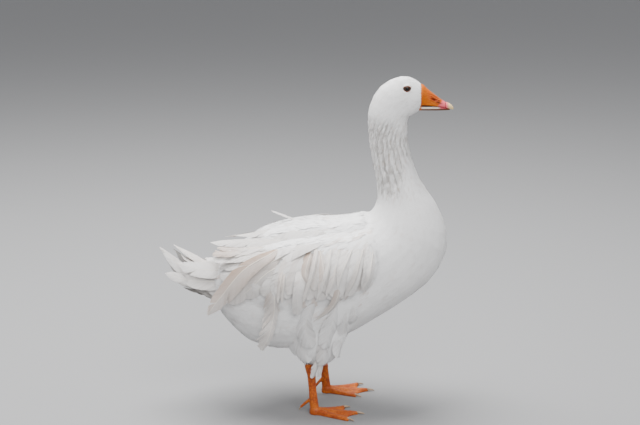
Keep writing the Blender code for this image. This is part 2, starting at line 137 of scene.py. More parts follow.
def grainGroup():
    # the fine grain of bare skin
    inputs = [
        ("Scale", "NodeSocketFloat", 800),
        ("Strength", "NodeSocketFloat", 0.3),
        ("Depth", "NodeSocketFloat", 0.0003),
    ]
    group, given, put = newGroup("grain", inputs, [("Normal", "NodeSocketVector")])
    where = addNode(group, "ShaderNodeTexCoord")
    grain = addNode(group, "ShaderNodeTexNoise", {
        "Vector": where.outputs["Object"], "Scale": given["Scale"], "Detail": 3.0})
    raised = addNode(group, "ShaderNodeBump", {
        "Strength": given["Strength"], "Distance": given["Depth"], "Height": grain.outputs["Fac"]})
    group.links.new(raised.outputs["Normal"], put["Normal"])
    return group


def placeGroup():
    # the object's own place, in millimetres about the hip
    group, _, put = newGroup("place", [], [(axis, "NodeSocketFloat") for axis in "XYZ"])
    where = addNode(group, "ShaderNodeTexCoord")
    moved = addNode(group, "ShaderNodeVectorMath", {
        0: where.outputs["Object"], 1: tuple(hip)}, operation="SUBTRACT")
    grown = addNode(group, "ShaderNodeVectorMath", {0: moved.outputs[0], "Scale": 1 / mm}, operation="SCALE")
    parts = addNode(group, "ShaderNodeSeparateXYZ", {0: grown.outputs[0]}).outputs
    for axis in "XYZ":
        group.links.new(parts[axis], put[axis])
    return group


groups = {"mottle": mottleGroup(), "barbs": barbGroup(), "grain": grainGroup(), "place": placeGroup()}


def useGroup(tree, name, **values):
    node = addNode(tree, "ShaderNodeGroup", node_tree=groups[name])
    for key, value in values.items():
        node.inputs[key].default_value = value
    return node.outputs


def newMaterial(name, roughness, specular=0.5):
    made = bpy.data.materials.new(name)
    made.use_nodes = True
    shader = made.node_tree.nodes["Principled BSDF"]
    shader.inputs["Roughness"].default_value = roughness
    shader.inputs["Specular IOR Level"].default_value = specular
    return made, made.node_tree, shader


def toneOf(tree):
    # the amounts of buff, shade and shaft that a feather's points carry
    tone = addNode(tree, "ShaderNodeAttribute", attribute_name="tone")
    return addNode(tree, "ShaderNodeSeparateXYZ", {0: tone.outputs["Vector"]}).outputs


def featherMaterial(name, look):
    made, tree, shader = newMaterial(name, look["roughness"], 0.3)
    buff, shade, shaft = toneOf(tree)
    patches = useGroup(tree, "mottle", Scale=look["patches"], Low=0.42, High=0.78)["Mask"]
    barbs = useGroup(tree, "barbs", Barbs=look["barbs"], Depth=look["depth"])
    plain = mixColour(tree, patches, look["white"], look["dim"])
    dim = mixColour(tree, shade, plain, look["shade"])
    tinted = mixColour(tree, buff, dim, look["buff"])
    lined = mixColour(tree, spanned(tree, barbs["Mask"], 0.0, 1.0, 0.0, look["lines"]), tinted, look["shade"])
    tree.links.new(mixColour(tree, shaft, lined, look["shaft"]), shader.inputs["Base Color"])
    tree.links.new(barbs["Normal"], shader.inputs["Normal"])
    shader.inputs["Sheen Weight"].default_value = 0.10
    shader.inputs["Sheen Roughness"].default_value = 0.5
    return made


billRoot = 183.6  # the feathers of the head end at this line, where the bill's skin starts
# dark is painted shade for the nostril and creases, shade is painted shadow on the lower half, and brown
# serves both the real brown marks and the painted shadow in the gap between the halves
billLook = {
    "orange": (0.45, 0.105, 0.0006, 1), "deep": (0.38, 0.068, 0.0006, 1), "red": (0.34, 0.035, 0.008, 1),
    "dark": (0.10, 0.007, 0.006, 1), "pink": (0.56, 0.090, 0.115, 1), "cream": (0.60, 0.45, 0.22, 1),
    "gum": (0.74, 0.64, 0.56, 1), "shade": (0.11, 0.035, 0.012, 1), "brown": (0.035, 0.012, 0.006, 1),
}
billSpans = {
    # where the bill's colours change, each over a short way
    "root": (billRoot - 0.8, billRoot + 0.4), "rootHigh": (534, 538),
    "upperPink": (221, 226), "pinkLeans": (568, 557), "nailWorn": (229.5, 234),
    "lowerRoot": (182.5, 186.5), "lowerPink": (213, 219),
    # the next two spans start the painted shadow: below the pale strip, and in the gap under the upper half
    "lowerShade": (551.0, 551.6), "lowerGapShadow": (554.6, 555.2),
}
featherLook = {
    "white": (0.86, 0.855, 0.85, 1), "dim": (0.80, 0.795, 0.79, 1), "shade": (0.44, 0.42, 0.40, 1),
    "buff": (0.50, 0.345, 0.25, 1), "shaft": (0.86, 0.80, 0.70, 1),
    "patches": 24.0, "barbs": 60.0, "depth": 0.00015, "lines": 0.10, "roughness": 0.6,
}
quillLook = dict(featherLook, **{
    "white": (0.82, 0.80, 0.785, 1), "dim": (0.75, 0.725, 0.70, 1), "shade": (0.36, 0.335, 0.31, 1),
    "buff": (0.43, 0.28, 0.19, 1),
    "patches": 30.0, "barbs": 45.0, "depth": 0.0004, "lines": 0.28, "roughness": 0.5,
})
# the thigh's soft feathers: a lighter copy of the long feathers' look, painted light to lift the shade that
# falls low on the body
softLightenedLook = dict(quillLook, **{
    "white": (0.90, 0.90, 0.905, 1), "dim": (0.87, 0.87, 0.875, 1), "roughness": 0.6,
})
coatWhite = featherMaterial("small white feathers", featherLook)
quillWhite = featherMaterial("long white feathers", quillLook)
softLightenedWhite = featherMaterial("soft white feathers", softLightenedLook)


def skinMaterial():
    made, tree, shader = newMaterial("down over skin", 0.8, 0.2)
    x, _, z = useGroup(tree, "place")
    patches = useGroup(tree, "mottle", Scale=60, Low=0.4, High=0.7)["Mask"]
    down = mixColour(tree, patches, (0.78, 0.77, 0.76, 1), (0.68, 0.67, 0.66, 1))
    bare = mixColour(tree, patches, billLook["orange"], billLook["deep"])
    ahead = spanned(tree, x, *billSpans["root"])
    high = spanned(tree, z, *billSpans["rootHigh"])
    root = addNode(tree, "ShaderNodeMath", {0: ahead, 1: high}, operation="MULTIPLY")
    tree.links.new(mixColour(tree, root.outputs[0], down, bare), shader.inputs["Base Color"])
    return made


# Making pieces

def finishPiece(name, mesh, material, replaces=()):
    piece = bpy.data.objects.new(name, mesh)
    bpy.context.scene.collection.objects.link(piece)
    mesh.materials.clear()
    mesh.materials.append(material)
    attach(piece, "root")
    if replaces:
        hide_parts(*replaces)
    return piece


def readVectors(source, count, key):
    values = np.empty(count * 3, np.float32)
    source.foreach_get(key, values)
    return values.reshape(-1, 3).astype(float)


def readPoints(mesh):
    # a mesh's points in millimetres about the hip
    return (readVectors(mesh.vertices, len(mesh.vertices), "co") - hip) / mm


def writePoints(mesh, points):
    mesh.vertices.foreach_set("co", (points * mm + hip).astype(np.float32).ravel())
    mesh.update()


def readNormals(mesh):
    return readVectors(mesh.vertex_normals, len(mesh.vertices), "vector")


def meshOf(nodes, change=None):
    # one mesh from merged copies of CAD nodes
    bm = bmesh.new()
    for node in nodes:
        earlier = set(bm.verts)
        bm.from_mesh(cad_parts[node].data)
        fresh = [v for v in bm.verts if v not in earlier]
        bmesh.ops.remove_doubles(bm, verts=fresh, dist=1e-5)
        if change:
            change(node, [v for v in fresh if v.is_valid])
    mesh = bpy.data.meshes.new("join")
    bm.to_mesh(mesh)
    bm.free()
    return mesh


def placedMesh(bm, name):
    # a finished mesh from one drawn in millimetres about the hip
    bmesh.ops.scale(bm, verts=bm.verts, vec=(mm, mm, mm))
    bmesh.ops.translate(bm, verts=bm.verts, vec=hip)
    mesh = bpy.data.meshes.new(name)
    bm.to_mesh(mesh)
    bm.free()
    mesh.shade_smooth()
    return mesh


def setTone(mesh, tone):
    # three amounts at each point, for the material to read
    layer = mesh.attributes.new("tone", "FLOAT_VECTOR", "POINT")
    layer.data.foreach_set("vector", tone.astype(np.float32).ravel())


def remeshed(mesh, voxel):
    holder = bpy.data.objects.new("holder", mesh)
    bpy.context.scene.collection.objects.link(holder)
    modifier = holder.modifiers.new("voxels", "REMESH")
    modifier.mode = "VOXEL"
    modifier.voxel_size = voxel * mm
    ready = holder.evaluated_get(bpy.context.evaluated_depsgraph_get())
    made = bpy.data.meshes.new_from_object(ready)
    bpy.data.objects.remove(holder)
    return made


def smoothed(mesh, times, factor=0.5, above=None):
    # evens out the whole mesh, or only what lies above a height
    bm = bmesh.new()
    bm.from_mesh(mesh)
    chosen = [v for v in bm.verts if above is None or v.co.z > above * mm]
    axes = {f"use_axis_{axis}": True for axis in "xyz"}
    for _ in range(times):
        bmesh.ops.smooth_vert(bm, verts=chosen, factor=factor, **axes)
    bm.to_mesh(mesh)
    bm.free()
    mesh.shade_smooth()


def refined(mesh, wanted):
    # halves the edges whose middle, in millimetres about the hip, is wanted
    bm = bmesh.new()
    bm.from_mesh(mesh)
    middles = np.array([(e.verts[0].co + e.verts[1].co) / 2 for e in bm.edges])
    chosen = wanted((middles - hip) / mm)
    edges = [e for e, yes in zip(bm.edges, chosen) if yes]
    bmesh.ops.subdivide_edges(bm, edges=edges, cuts=1, use_grid_fill=True, smooth=0.5)
    bmesh.ops.triangulate(bm, faces=[f for f in bm.faces if len(f.verts) > 4])
    bm.to_mesh(mesh)
    bm.free()


def blendAt(points, guides, sharp=3.0, near=8.0):
    # a value or direction at each point, from guides of (x, out, z, value...)
    guides = np.asarray(guides, float)
    total = np.zeros((len(points), guides.shape[1] - 3))
    weight = np.zeros((len(points), 1))
    for mirror in (1, -1):
        spots = guides[:, :3] * (1, mirror, 1)
        values = guides[:, 3:].copy()
        if values.shape[1] == 3:
            values[:, 1] *= mirror
        for spot, value in zip(spots, values):
            w = 1 / (np.linalg.norm(points - spot, axis=1, keepdims=True) + near) ** sharp
            total += w * value
            weight += w
    return total / weight


# The skin

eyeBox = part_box("eye_r")
eye = {
    "x": (eyeBox[0].x + eyeBox[1].x - 2 * hip[0]) / 2 / mm,
    "out": abs(eyeBox[0].y + eyeBox[1].y - 2 * hip[1]) / 2 / mm,
    "z": (eyeBox[0].z + eyeBox[1].z) / 2 / mm,
    "radius": (eyeBox[1].x - eyeBox[0].x) / 2 / mm,
    "halfLength": 6.8,
    "halfHeight": 5.1,
    "cornea": 0.7,
    "pupil": (2.7, 3.0),
    "iris": (4.8, 5.8),
}
skinSizes = {
    "voxel": 3.0, "fitMost": 3.0, "shellGap": 2.7, "shellSink": 5.0, "headFrom": 512, "eyeReach": 15,
    "crownFrom": 590, "crownPasses": 30, "crown": 1.4, "nape": 1.3, "billAxis": 566.0,
}
furrow = {
    # the neck's grooves: how many round the neck, with the finer strands on them, their depth and how they
    # lean and wander, and the heights they end at in front with how much higher or lower they end behind
    "count": 20, "strands": 47, "depth": 7.2, "lean": 0.7, "wander": 3.2,
    "top": 540, "topDrop": 22, "low": 392, "lowRise": 62, "softTop": 20, "softLow": 34,
}

# The coat's depth over the skin, at points of the body: (x, out, z, depth)
coatDepths = [
    (185, 12, 575, 0.6), (158, 22, 589, 0.5), (160, 0, 605, 1.1), (150, 26, 565, 1.2), (110, 0, 590, 1.5),
    (165, 0, 545, 1.4), (128, 31, 540, 1.6), (128, 32, 500, 2.0), (130, 34, 460, 2.4), (140, 40, 420, 2.8),
    (200, 60, 340, 3), (240, 0, 300, 3), (210, 0, 245, 4), (97, 60, 165, 5), (0, 60, 120, 7),
    (-120, 50, 130, 8), (-190, 20, 240, 7), (0, 100, 200, 7), (0, 0, 350, 5), (60, 90, 300, 5),
    (-100, 60, 310, 6), (5, 90, 120, 8),
]

# The middle line of the body from the tail to the bill, as (x, z)
bodyLine = np.array([
    (-250, 250), (-190, 242), (-120, 230), (-30, 227), (60, 240), (112, 268), (143, 315), (158, 365),
    (146, 430), (131, 476), (126, 522), (131, 552), (150, 576), (200, 568),
], float)


def roundBody(points):
    # how far along the middle line each point lies, and its angle round it from the back
    best = np.full(len(points), 1e9)
    along = np.zeros(len(points))
    angle = np.zeros(len(points))
    run = 0
    for a, b in zip(bodyLine, bodyLine[1:]):
        step = b - a
        size = np.linalg.norm(step)
        offset = points[:, (0, 2)] - a
        t = np.clip(offset @ step / size ** 2, 0, 1)
        gap = offset - t[:, None] * step
        up = (gap @ np.array([-step[1], step[0]])) / size
        far = np.hypot(np.hypot(gap[:, 0], gap[:, 1]), points[:, 1])
        closer = far < best
        best[closer] = far[closer]
        along[closer] = (run + t * size)[closer]
        angle[closer] = np.arctan2(points[:, 1], up)[closer]
        run += size
    return along, angle


def furrowShare(points):
    # grooves down the neck that lean back under the cheek and waver, deepest at the sides: 0 on a ridge, 1 in
    # a groove
    _, angle = roundBody(points)
    z = points[:, 2]
    turn = np.abs(angle)
    top = furrow["top"] - furrow["topDrop"] * smoothStep(turn, 1.6, 3.0)
    low = furrow["low"] + furrow["lowRise"] * smoothStep(turn, 1.2, 2.4)
    zone = smoothStep(z, low, low + furrow["softLow"]) * (1 - smoothStep(z, top - furrow["softTop"], top))
    lean = furrow["lean"] * smoothStep(-z, -545, -490)
    apart = Vector((5, 0, 0))
    wander = np.array([noise.noise(p / 26) + 0.6 * noise.noise(p / 11 + apart) for p in map(Vector, points)])
    waver = 0.6 * np.sin(z / 19 + 3 * turn) + furrow["wander"] * wander
    ridge = 0.5 + 0.5 * np.cos(furrow["count"] * (turn + lean) + waver)
    strand = 0.5 + 0.5 * np.cos(furrow["strands"] * (turn + lean) - 1.4 * waver + z / 11)
    deep = (0.6 + 0.4 * (1 - smoothStep(turn, 1.7, 2.7))) * (0.3 + 0.7 * smoothStep(turn, 0.1, 0.8))
    return zone * deep * (1 - 0.72 * ridge ** 0.7 - 0.28 * strand)


def shapeEyes(points):
    # the skin swells over the eye, and opens in front of it
    out = np.abs(points[:, 1])
    dx, dz = points[:, 0] - eye["x"], points[:, 2] - eye["z"]
    far = np.hypot(dx, dz)
    over = np.sqrt(np.maximum((eye["radius"] + 0.3) ** 2 - far ** 2, 0)) + eye["out"]
    share = 1 - smoothStep(far, eye["radius"] - 1.5, eye["radius"] + 5)
    near = (far < eye["radius"] + 6) & (out > eye["out"] - 4)
    target = np.where(far < eye["radius"] - 0.6, np.maximum(over, out - 0.6), out)
    fresh = out * (1 - share) + target * share
    inside = np.hypot(dx / (eye["halfLength"] + 0.3), dz / (eye["halfHeight"] + 0.3)) < 1
    fresh = np.where(inside, eye["out"] + 1.5, fresh)
    points[:, 1] = np.where(near, np.sign(points[:, 1]) * fresh, points[:, 1])


def fitOutside(mesh):
    # puts a smoothed mesh back on the outside of the CAD flesh, by up to fitMost
    joined = meshOf(skinNodes)
    outside = treeOf(readPoints(joined), joined)
    points, normals = readPoints(mesh), readNormals(mesh)
    far = 20.0
    for i, (p, n) in enumerate(zip(points, normals)):
        hit = outside.ray_cast(Vector(p + n * far), Vector(-n), 2 * far)[3]
        gap = far - hit if hit is not None else 0
        if abs(gap) < skinSizes["fitMost"]:
            points[i] += n * gap
    writePoints(mesh, points)


def sinkShell(node, verts):
    # a shell's inner side goes into the trunk, so that the two grow together
    if node not in ("mantle", "wing_l", "wing_r"):
        return
    for v in verts:
        spot, normal, _, gap = trunkTree.find_nearest(v.co)
        if gap < skinSizes["shellGap"] * mm:
            v.co = spot - normal * skinSizes["shellSink"] * mm


def roundHead(points):
    # the crown and the nape stand a little fuller
    crown = bump(points[:, 0], 154, 19) * smoothStep(points[:, 2], skinSizes["crownFrom"], 604)
    points[:, 2] += skinSizes["crown"] * crown
    nape = bump(np.hypot(points[:, 0] - 127, points[:, 2] - 596), 0, 22) * bump(points[:, 1], 0, 18)
    points += (nape * skinSizes["nape"])[:, None] * unit(np.array([-1.0, 0.0, 1.0]))


def shrinkInBill(points):
    # ahead of its feathers the skin draws in, to stay inside the bill
    x, z = points[:, 0], points[:, 2]
    inBill = 0.25 * smoothStep(x, billRoot + 0.5, billRoot + 4) * smoothStep(z, 545, 556)
    points[:, 1] *= 1 - inBill
    points[:, 2] += (skinSizes["billAxis"] - z) * inBill


def buildSkin():
    mesh = remeshed(meshOf(skinNodes + ["eye_l", "eye_r"], sinkShell), skinSizes["voxel"])
    smoothed(mesh, 6)
    refined(mesh, lambda p: p[:, 2] > skinSizes["headFrom"])
    refined(mesh, lambda p: np.hypot(p[:, 0] - eye["x"], p[:, 2] - eye["z"]) < skinSizes["eyeReach"])
    smoothed(mesh, 1)
    fitOutside(mesh)
    smoothed(mesh, 3)
    smoothed(mesh, skinSizes["crownPasses"], above=skinSizes["crownFrom"])
    points = readPoints(mesh)
    roundHead(points)
    depth = blendAt(points, coatDepths)[:, 0] + furrowShare(points) * furrow["depth"]
    points -= readNormals(mesh) * depth[:, None]
    shapeEyes(points)
    shrinkInBill(points)
    writePoints(mesh, points)
    smoothed(mesh, 1, 0.3)
    return mesh


def treeOf(points, mesh):
    # a tree over a mesh's faces, to find the place nearest to a point or the first one that a ray meets
    return BVHTree.FromPolygons(points.tolist(), [tuple(p.vertices) for p in mesh.polygons])


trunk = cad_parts["trunk"].data
trunkTree = BVHTree.FromPolygons([v.co for v in trunk.vertices], [p.vertices for p in trunk.polygons])
skinNodes = [
    "trunk", "neck_lower", "neck_middle", "neck_upper", "head", "thigh_l", "thigh_r", "mantle", "wing_l",
    "wing_r",
]
skinMesh = buildSkin()
finishPiece("skin", skinMesh, skinMaterial(), skinNodes)
print("skin", len(skinMesh.polygons), "faces")

skinPoints = readPoints(skinMesh)
skinCorners = [np.array([p.vertices[k] for p in skinMesh.polygons]) for k in (0, 1, 2, -1)]
faceNormals = unit(sum(readNormals(skinMesh)[corner] for corner in skinCorners))
skinTree = treeOf(skinPoints, skinMesh)


def nearestSkin(points):
    # the nearest places on the skin, and the way out of the body there
    spots = np.empty((len(points), 3))
    faces = np.empty(len(points), int)
    for i, p in enumerate(points):
        spot, _, face, _ = skinTree.find_nearest(Vector(p))
        spots[i] = spot
        faces[i] = face
    return spots, faceNormals[faces]


# The small feathers

# Their lie, as (x, out, z, forwards, outwards, upwards)
lieGuides = [
    (190, 10, 575, -1, .1, .1), (180, 16, 555, -1, 0, -.2), (172, 18, 604, -1, 0, .15),
    (150, 0, 608, -1, 0, .05), (158, 24, 600, -1, 0, .1), (158, 25, 577, -1, 0, -.1),
    (145, 28, 590, -1, 0, -.2), (135, 30, 565, -.8, 0, -.6), (110, 0, 592, -.7, 0, -.7),
    (175, 0, 543, -.8, 0, -.7), (160, 20, 545, -.7, 0, -.7), (93, 0, 555, 0, 0, -1),
    (162, 0, 520, .05, 0, -1), (91, 0, 520, .05, 0, -1), (128, 31, 525, -.45, 0, -1),
    (128, 33, 490, -.15, 0, -1), (150, 30, 535, -.5, 0, -1), (168, 0, 470, .2, 0, -1),
    (94, 0, 470, .1, 0, -1), (128, 33, 450, .1, 0, -1), (185, 0, 420, .5, 0, -1), (103, 0, 430, 0, 0, -1),
    (145, 40, 425, .15, .3, -1), (107, 0, 385, -.5, 0, -.8), (85, 0, 360, -1, 0, -.1),
    (222, 0, 362, .2, 0, -1), (240, 0, 300, -.3, 0, -1), (211, 0, 245, -.9, 0, -.6),
    (160, 0, 202, -1, 0, -.4), (97, 0, 163, -1, 0, -.2), (0, 0, 118, -1, 0, 0), (-60, 0, 112, -1, 0, .1),
    (-125, 0, 130, -.9, 0, .5), (-160, 0, 165, -.7, 0, .8), (-205, 0, 215, -1, 0, .6),
    (200, 60, 330, -.5, .3, -.8), (190, 65, 270, -1, .1, -.7), (150, 85, 300, -.7, .3, -.8),
    (130, 80, 340, -.7, .4, -.7), (140, 80, 240, -1, 0, -.4), (60, 90, 200, -1, 0, -.3),
    (0, 100, 190, -1, 0, -.15), (-90, 95, 180, -1, 0, .2), (-150, 60, 200, -1, 0, .5),
    (0, 0, 350, -1, 0, 0), (-60, 30, 340, -1, 0, -.1), (-130, 0, 315, -1, 0, -.3), (-200, 0, 265, -1, 0, 0),
    (95, 95, 290, -.35, 0, -1), (95, 70, 330, -.7, .3, -.7), (60, 95, 290, -.3, 0, -1),
    (20, 105, 270, -.45, 0, -1), (20, 80, 325, -.6, .4, -.7), (-30, 100, 280, -.7, 0, -.75),
    (-80, 95, 285, -1, 0, -.6), (-40, 70, 325, -.9, .3, -.4), (-120, 80, 265, -1, 0, -.6),
    (10, 60, 345, -1, .2, -.2), (-20, 110, 250, -.6, 0, -.9), (5, 92, 130, -.25, 0, -1),
    (40, 80, 130, -.2, 0, -1), (-30, 80, 130, -.3, 0, -1), (5, 50, 110, -.2, 0, -1),
]


def lieAt(points, normals):
    way = blendAt(points, lieGuides, 4, 6)
    return unit(way - normals * (way * normals).sum(1, keepdims=True))


def tuftPattern(strands, rows, split):
    # one soft feather laid flat, parted into strands past its split: across, along and strand of each point
    bm = bmesh.new()
    bmesh.ops.create_grid(bm, x_segments=strands, y_segments=rows, size=1)
    for v in bm.verts:
        v.co.y = (v.co.y + 1) / 2
    parted = [
        e for e in bm.edges
        if abs(e.verts[0].co.x - e.verts[1].co.x) < 1e-4 and abs(e.verts[0].co.x) < 0.99
        and min(v.co.y for v in e.verts) > split - 1e-3
    ]
    bmesh.ops.split_edges(bm, edges=parted)
    spots = []
    for v in bm.verts:
        strand = -1
        if v.co.y > split + 1e-3:
            middle = sum(f.calc_center_median().x for f in v.link_faces) / len(v.link_faces)
            strand = int((middle + 1) / 2 * strands)
            narrow = 0.9 if v.co.y < 0.99 else 0.25
            v.co.x = middle + (v.co.x - middle) * narrow
        spots.append((v.co.x, v.co.y, strand))
    bm.verts.index_update()
    faces = [[v.index for v in f.verts] for f in bm.faces]
    bm.free()
    return np.array(spots), np.array(faces)


def scattered(spacing, zone, seed):
    # roots over the skin at about their spacing, where the zone allows
    rng = np.random.default_rng(seed)
    polygons = skinMesh.polygons
    areas = np.array([p.area for p in polygons]) / mm ** 2
    centres = sum(skinPoints[corner] for corner in skinCorners) / 4
    wanted = spacing(centres)
    allowed = zone(centres)
    chance = np.where(allowed, areas / wanted ** 2, 0)
    count = int(chance.sum() * 5)
    picks = rng.choice(len(areas), count, p=chance / chance.sum())
    a, b = rng.random((2, count, 1))
    p0, p1, p2, p3 = (skinPoints[corner[picks]] for corner in skinCorners)
    points = (p0 * (1 - a) + p1 * a) * (1 - b) + (p3 * (1 - a) + p2 * a) * b
    gaps = spacing(points)
    cell = float(wanted[allowed].max())
    keys = np.floor(points / cell).astype(int).tolist()
    grid, kept = {}, []
    for i, ((x, y, z), (cx, cy, cz)) in enumerate(zip(points.tolist(), keys)):
        near = gaps[i] ** 2
        crowd = (
            q for dx in (-1, 0, 1) for dy in (-1, 0, 1) for dz in (-1, 0, 1)
            for q in grid.get((cx + dx, cy + dy, cz + dz), ())
        )
        if all((qx - x) ** 2 + (qy - y) ** 2 + (qz - z) ** 2 >= near for qx, qy, qz in crowd):
            grid.setdefault((cx, cy, cz), []).append((x, y, z))
            kept.append(i)
    return points[kept], faceNormals[picks[kept]]


def sheetMesh(name, points, faces, shading, maps, tone):
    # many thin sheets as one mesh, with their maps, tones and smooth directions
    mesh = bpy.data.meshes.new(name)
    mesh.vertices.add(len(points))
    mesh.vertices.foreach_set("co", (points * mm + hip).astype(np.float32).ravel())
    mesh.loops.add(faces.size)
    mesh.loops.foreach_set("vertex_index", faces.astype(np.int32).ravel())
    mesh.polygons.add(len(faces))
    mesh.polygons.foreach_set("loop_start", np.arange(0, faces.size, 4, dtype=np.int32))
    mesh.update(calc_edges=True)
    for key, values in maps.items():
        layer = mesh.uv_layers.new(name=key)
        layer.data.foreach_set("uv", values[faces.ravel()].astype(np.float32).ravel())
    setTone(mesh, tone)
    mesh.shade_smooth()
    mesh.normals_split_custom_set_from_vertices(shading.astype(np.float32))
    return mesh


def tuftOutline(along):
    # half the width of a small feather along its length, as a share of its widest
    return np.interp(along, (0, 0.12, 0.35, 0.6, 0.8, 1.0), (0.25, 0.55, 0.88, 1.0, 0.95, 0.62))


def tuftLines(roots, normals, way, length, stations):
    # middle lines that follow the skin from each root: spots, ways out and ways along
    spots, outs, ways = [roots], [normals], [way]
    here, lean = roots, way
    for _ in range(stations - 1):
        here, out = nearestSkin(here + lean * (length / (stations - 1))[:, None])
        lean = unit(lean * 0.75 + lieAt(here, out) * 0.25)
        lean = unit(lean - out * (lean * out).sum(1, keepdims=True))
        spots.append(here)
        outs.append(out)
        ways.append(lean)
    return np.array(spots), np.array(outs), np.array(ways)


def coatMap(roots, across, reach):
    # each tuft is a small patch at its root's place on the unrolled body
    along, angle = roundBody(roots)
    u = (along - along.min()) / (along.max() - along.min())
    v = angle / (2 * math.pi) + 0.5
    edge, patch = 0.004, 0.003
    u, v = edge + 0.99 * u[:, None], edge + 0.99 * v[:, None]
    return np.stack([u + patch * across / 2, v + patch * (reach - 0.5)], -1)


def riseAlong(recipe, reach):
    # how far off the skin a tuft lies along its length, as a share of the coat's depth, and how steeply it
    # rises
    full, bend = 0.82, 1.9
    gain = recipe["tip"] - recipe["root"]
    rise = recipe["root"] + gain * np.sin(reach * bend) / math.sin(bend * full)
    return rise, gain * bend * np.cos(reach * bend)


def alongRails(rails, reach):
    # what the tufts' lines give at shares of their length
    last = len(rails[0]) - 1
    low = np.minimum((reach * last).astype(int), last - 1)
    share = (reach * last - low)[..., None]
    index = np.arange(len(reach))[:, None]
    return [rail[low, index] * (1 - share) + rail[low + 1, index] * share for rail in rails]


def coatTones(recipe, roots, along, rng):
    # buff on a few tufts, and shade at the roots, in the neck's grooves and from tuft to tuft
    tone = np.zeros((len(roots), len(along), 3))
    tone[..., 0] = recipe["buff"](roots, rng)[:, None]
    groove = furrowShare(roots) * recipe.get("groove", 0)
    fleck = recipe["fleck"] * rng.random((len(roots), 1)) ** 3
    tone[..., 1] = fleck + recipe["shadow"] * (1 - along) + groove[:, None]
    return tone.reshape(-1, 3)


def growCoat(name, recipe):
    rng = np.random.default_rng(recipe["seed"])
    roots, normals = scattered(recipe["spacing"], recipe["zone"], recipe["seed"])
    count = len(roots)
    length = recipe["length"](roots) * rng.uniform(0.85, 1.15, count)
    half = (recipe["width"](roots) * rng.uniform(0.85, 1.15, count) / 2)[:, None]
    depth = blendAt(roots, coatDepths)[:, 0]
    way = lieAt(roots, normals)
    stray = rng.normal(0, recipe["stray"], (count, 1))
    way = unit(way * np.cos(stray) + np.cross(normals, way) * np.sin(stray))
    rails = tuftLines(roots, normals, way, length, recipe["stations"])
    strands, split = recipe["strands"], recipe["split"]
    pattern, faces = tuftPattern(strands, recipe["rows"], split)
    across, along, strand = pattern.T
    which = strand.astype(int)
    loose = np.where(which >= 0, (along - split) / (1 - split), 0)
    ragged, spread, ruffle = (
        rng.normal(0, recipe[key], (count, strands + 1))[:, which] * loose
        for key in ("ragged", "spread", "ruffle")
    )
    down = along * (1 - recipe["round"] * across ** 2 * along) * (1 + ragged)
    aside = across * tuftOutline(along) + spread
    reach = np.clip(down, 0, 1)
    centre, out, lean = alongRails(rails, reach)
    out, lean = unit(out), unit(lean)
    side = np.cross(lean, out)
    rise, steep = riseAlong(recipe, reach)
    height = (rise + ruffle) * depth[:, None] - recipe["camber"] * aside ** 2 * half
    over = (np.maximum(down - 1, 0) * length[:, None])[..., None]
    points = centre + side * (aside * half)[..., None] + out * height[..., None] + lean * over
    slope = (depth / length)[:, None] * steep
    tilt = side * (2 * recipe["camber"] * aside)[..., None] - lean * slope[..., None]
    shading = unit(out + recipe["soft"] * tilt).reshape(-1, 3)
    vane = np.stack([aside / 2 + 0.5, reach * (length / 100)[:, None]], -1).reshape(-1, 2)
    maps = {"OFBake": coatMap(roots, aside, reach).reshape(-1, 2), "vane": vane}
    tone = coatTones(recipe, roots, along, rng)
    allFaces = (faces[None] + (np.arange(count) * len(pattern))[:, None, None]).reshape(-1, 4)
    mesh = sheetMesh(name, points.reshape(-1, 3), allFaces, shading, maps, tone)
    finishPiece(name, mesh, coatWhite)
    print(name, count, "feathers,", 2 * len(allFaces), "triangles")


def byHeight(low, lowValue, high, highValue):
    return lambda p: np.interp(p[:, 2], (low, high), (lowValue, highValue))


def byEye(*pairs):
    gaps, values = zip(*pairs)
    return lambda p: np.interp(np.hypot(p[:, 0] - eye["x"], p[:, 2] - eye["z"]), gaps, values)


def steady(value):
    return lambda p: np.full(len(p), float(value))


def fewBuff(share, most):
    return lambda roots, rng: np.where(rng.random(len(roots)) < share, rng.random(len(roots)) * most, 0)


areas = {
    # the borders between the coats; the wing's turns are angles round the body from the back
    "thigh": {"middle": 4, "reach": 50, "below": 150, "out": 28},
    "bill": {"leans": 0.22, "leansBelow": 562, "above": 520},
    "wing": {"turns": (0.55, 1.78), "out": 30, "rear": -185, "front": 112, "above": 226},
    "back": {"rear": -230, "front": 96, "above": 285, "below": 372},
}


def between(values, low, high):
    return (values > low) & (values < high)


def onThigh(p):
    area = areas["thigh"]
    ahead = p[:, 0] - area["middle"] - np.where(p[:, 1] > 0, leftLegAhead, 0)
    return (np.abs(ahead) < area["reach"]) & (p[:, 2] < area["below"]) & (np.abs(p[:, 1]) > area["out"])


def onEye(p):
    dx, dz = p[:, 0] - eye["x"], p[:, 2] - eye["z"]
    return np.hypot(dx / (eye["halfLength"] + 0.5), dz / (eye["halfHeight"] + 0.5)) < 1


def onBill(p):
    area = areas["bill"]
    line = billRoot - area["leans"] * np.maximum(area["leansBelow"] - p[:, 2], 0)
    return (p[:, 0] > line) & (p[:, 2] > area["above"])


def onWing(p):
    area = areas["wing"]
    beside = between(np.abs(roundBody(p)[1]), *area["turns"]) & (np.abs(p[:, 1]) > area["out"])
    return beside & between(p[:, 0], area["rear"], area["front"]) & (p[:, 2] > area["above"])


def onBack(p):
    area = areas["back"]
    above = between(p[:, 2], area["above"], area["below"])
    return above & between(p[:, 0], area["rear"], area["front"]) & ~onWing(p)


